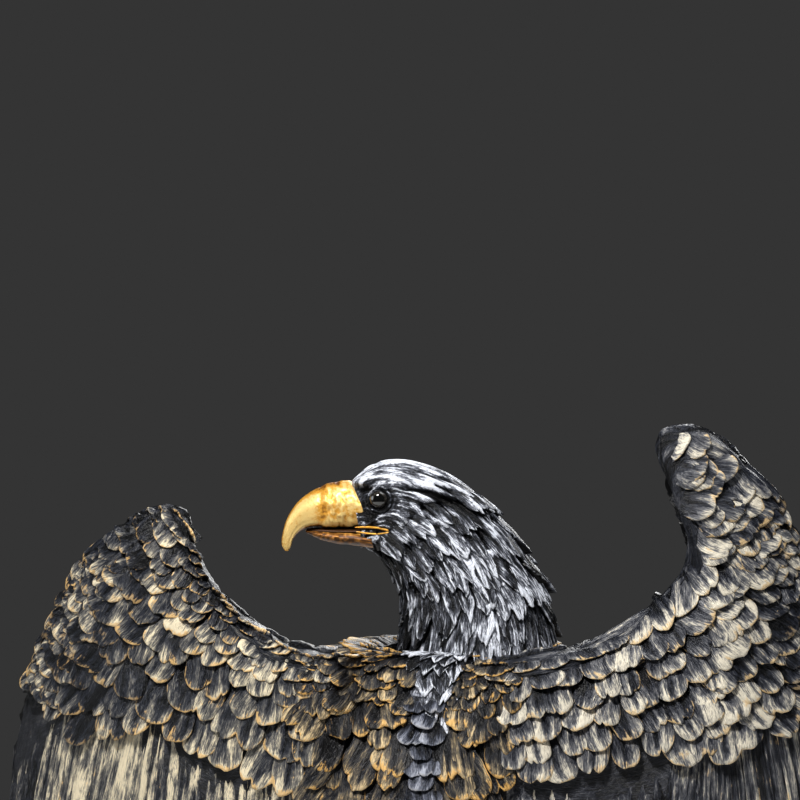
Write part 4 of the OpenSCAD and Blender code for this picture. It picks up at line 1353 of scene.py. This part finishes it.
def make_foot(name, node, side):
    bag = Bag()
    for angle, long in ((-122, 27), (-90, 30), (-58, 27), (90, 19)):
        table = [[x * long if i else x, z, r] for i, (x, z, r) in enumerate(TOE)]
        s = np.linspace(0, 1, 110)
        q, ahead = smooth(table, s), smooth(table, s + 0.01) - smooth(table, s - 0.01)
        d, e = ahead[:, 0], ahead[:, 1]
        m = np.hypot(d, e)
        w = np.linspace(0, 2 * math.pi, 40, endpoint=False)
        claw = step(0.60, 0.66, s)
        upper = step(-0.1, 0.5, np.cos(w))[None]
        plates = np.abs(np.sin(q[:, 0] * math.pi / 2.3))[:, None] ** 0.5
        pebbles = noise(w[None] * 3.2, q[:, 0:1] * 0.9, 5)
        h = (1 - claw)[:, None] * (upper * 0.55 * (plates - 0.7) + (1 - upper) * 0.6 * (pebbles - 0.5))
        h = h - 0.45 * bump(s, 0.635, 0.012)[:, None] + 0.35 * bump(s, 0.60, 0.02)[:, None]
        r = q[:, 2:3] + h
        x = q[:, 0:1] - r * np.cos(w) * (e / m)[:, None]
        zz = np.maximum(q[:, 1:2] + r * np.cos(w) * (d / m)[:, None], 0.05)
        y = -r * np.sin(w)
        t = math.radians(angle)
        p = np.stack([x * math.cos(t) - y * math.sin(t), x * math.sin(t) + y * math.cos(t), zz], -1)
        values = plain_values(h.shape, along=s[:, None] + 0 * h)
        values[..., 2] = np.clip(0.5 + 0.9 * h, 0, 1)
        p[..., 0] = side * p[..., 0] + side * LEG_X
        p[..., 1] += middle_foot
        p[..., 2] += PERCH
        quads = grid_quads(len(s), len(w), True)
        bag.add(p, quads if side > 0 else quads[:, ::-1], values)
    s = np.linspace(0, 1, 60)
    w = np.linspace(0, 2 * math.pi, 56, endpoint=False)
    z = s * 19.0 * KZ
    r = np.interp(s, [0, 0.12, 0.35, 1], [9.2, 8.4, 6.9, 6.8])
    plates = np.abs(np.sin(z * math.pi / 2.6))[:, None] ** 0.5 * step(-0.6, 0.1, -np.sin(w))[None]
    h = 0.5 * (plates - 0.5) + 0.4 * (noise(w[None] * 3.5, z[:, None] * 0.8, 6) - 0.5)
    rr = r[:, None] + h
    x, y = side * LEG_X + rr * np.cos(w), middle_foot + rr * np.sin(w)
    p = np.stack([x, y, PERCH + 0.1 + z[:, None] + 0 * rr], -1)
    values = plain_values(h.shape, along=0.2)
    values[..., 2] = np.clip(0.5 + 0.9 * h, 0, 1)
    bag.add(p, grid_quads(len(s), len(w), True), values)
    return bag.make(name, FOOT, node)


middle_foot = -7.0
make_foot("left_foot_metal", "left_foot", 1)
make_foot("right_foot_metal", "right_foot", -1)

# ------------------------------------------------------------------ rock


def make_rock():
    lo, hi = span("rock")
    high = hi[2] - lo[2]
    radius = (hi[0] - lo[0]) / 2
    seeds = rng.uniform(-1, 1, (150, 3)) * [radius, radius, high * 0.6] + [0, 0, high * 0.5]
    lift, tilt = rng.uniform(-1.9, 1.7, 150), rng.normal(0, 0.10, (150, 3))
    turn = np.linspace(0, 2 * math.pi, 420, endpoint=False)
    s, a = np.meshgrid(np.linspace(0, 1, 110), turn, indexing="ij")
    heights = [0, 0.1, 0.27, 0.46, 0.62, 0.8, 0.93, 1]
    widths = [0.96, 0.98, 0.93, 0.88, 0.80, 0.75, 0.71, 0.655]
    shape = np.interp(s, heights, widths)
    wave = 1 + 0.05 * np.sin(3 * a + 5 * s) + 0.04 * np.sin(7 * a + 9 * s) + 0.02 * np.sin(13 * a + 12 * s)
    r = (radius - 4.5) * shape * wave
    side = np.stack([r * np.cos(a), r * np.sin(a) * 0.94 - 2 * s, s * high], -1)
    t, b = np.meshgrid(np.linspace(1, 0.0, 60), a[0], indexing="ij")
    top = np.stack([side[-1, :, 0] * t, side[-1, :, 1] * t, high + 0 * t], -1)
    bag = Bag()
    for part, is_top in ((side, False), (top, True)):
        d = np.linalg.norm(part[..., None, :] - seeds, axis=-1)
        order = np.argsort(d, axis=-1)[..., :2]
        first, second = np.take_along_axis(d, order, -1)[..., 0], np.take_along_axis(d, order, -1)[..., 1]
        cell = order[..., 0]
        crack = bump(second - first, 0, 1.3)
        facet = lift[cell] + (tilt[cell] * (part - seeds[cell])).sum(-1)
        angle = np.arctan2(part[..., 1], part[..., 0])
        grain = noise(angle * 14, part[..., 2] * 0.45, 3) - 0.5
        grain = grain + 0.5 * (noise(angle * 40, part[..., 2] * 1.2, 4) - 0.5)
        h = np.clip(facet, -3, 3) - 1.6 * crack + 1.5 * grain
        out = np.stack([np.cos(angle), np.sin(angle), 0.2 + 0 * angle], -1)
        if is_top:
            lumps = noise(part[..., 0] * 0.5, part[..., 1] * 0.5, 8) - 0.9
            flat = np.clip(-0.5 - 0.5 * crack + 0.5 * lumps, -1.6, -0.02)
            rim = step(0.85, 1.0, t)
            part = part + out * (h * rim)[..., None] * [1, 1, 0]
            part[..., 2] = high + flat
        else:
            part = part + out * h[..., None] * [1, 1, 0.35]
            brink = s > 0.995
            part[..., 2] = np.clip(part[..., 2], 0, high - 0.3) * (1 - brink) + (high - 0.6) * brink
            part[0, :, 2] = 0
        values = plain_values(h.shape, along=0.5)
        values[..., 2] = np.clip(0.5 + 0.22 * facet + 0.35 * grain - 0.6 * crack, 0, 1)
        part = part + [0, 0, ROCK_Z]
        quads = grid_quads(part.shape[0], part.shape[1], True)
        bag.add(part, quads, values)
    return bag.make("rock_casting", ROCK, "rock")


make_rock()

# ------------------------------------------------------------------ floor, light and camera

bpy.ops.mesh.primitive_circle_add(vertices=128, radius=0.62, fill_type="NGON", location=(0, 0, -0.0002))
floor = bpy.context.object
floor.name = "floor"
paper = Graph("floor_paper", Roughness=0.85)
tone = paper.noise(paper.place(), 9.0, 3.0)
floor.data.materials.append(paper.finish(Base_Color=paper.mix(tone, (0.66, 0.66, 0.65), (0.72, 0.72, 0.71))))


def area_light(name, position, target, size, power, colour=(1, 1, 1)):
    lamp = bpy.data.lights.new(name, "AREA")
    lamp.shape, lamp.size, lamp.energy, lamp.color = "DISK", size, power, colour
    o = bpy.data.objects.new(name, lamp)
    bpy.context.collection.objects.link(o)
    o.location = position
    o.rotation_euler = (Vector(target) - Vector(position)).to_track_quat("-Z", "Y").to_euler()


area_light("key", (0.25, 0.85, 1.35), (0, 0, 0.24), 0.26, 30, (1.0, 0.98, 0.95))
area_light("top", (-0.5, -0.1, 1.4), (0, 0, 0.2), 0.8, 5, (0.93, 0.96, 1.0))
area_light("front", (-0.2, -1.4, 0.8), (0, 0, 0.2), 0.9, 14, (1.0, 1.0, 1.0))
area_light("side", (1.3, 0.3, 0.5), (0, 0, 0.2), 0.8, 4, (0.9, 0.95, 1.0))
world = bpy.data.worlds.new("studio")
bpy.context.scene.world = world
world.use_nodes = True
world.node_tree.nodes["Background"].inputs["Color"].default_value = (0.0343, 0.0343, 0.0343, 1)
world.node_tree.nodes["Background"].inputs["Strength"].default_value = 1.0

AZIMUTH, ELEVATION, DISTANCE = math.radians(188), math.radians(3), 1.25
TARGET = np.array([0.0091, 0.0, 0.337])
level = math.cos(ELEVATION)
away = np.array([math.sin(AZIMUTH) * level, -math.cos(AZIMUTH) * level, math.sin(ELEVATION)])
camera = bpy.data.cameras.new("camera")
camera.sensor_width = 36
camera.lens = 18 / (0.15 / DISTANCE)
camera.clip_start, camera.clip_end = 0.05, 20
eye = bpy.data.objects.new("camera", camera)
bpy.context.collection.objects.link(eye)
eye.location = TARGET + away * DISTANCE
eye.rotation_euler = Vector(-away).to_track_quat("-Z", "Y").to_euler()
bpy.context.scene.camera = eye
bpy.context.scene.view_settings.view_transform = "Standard"
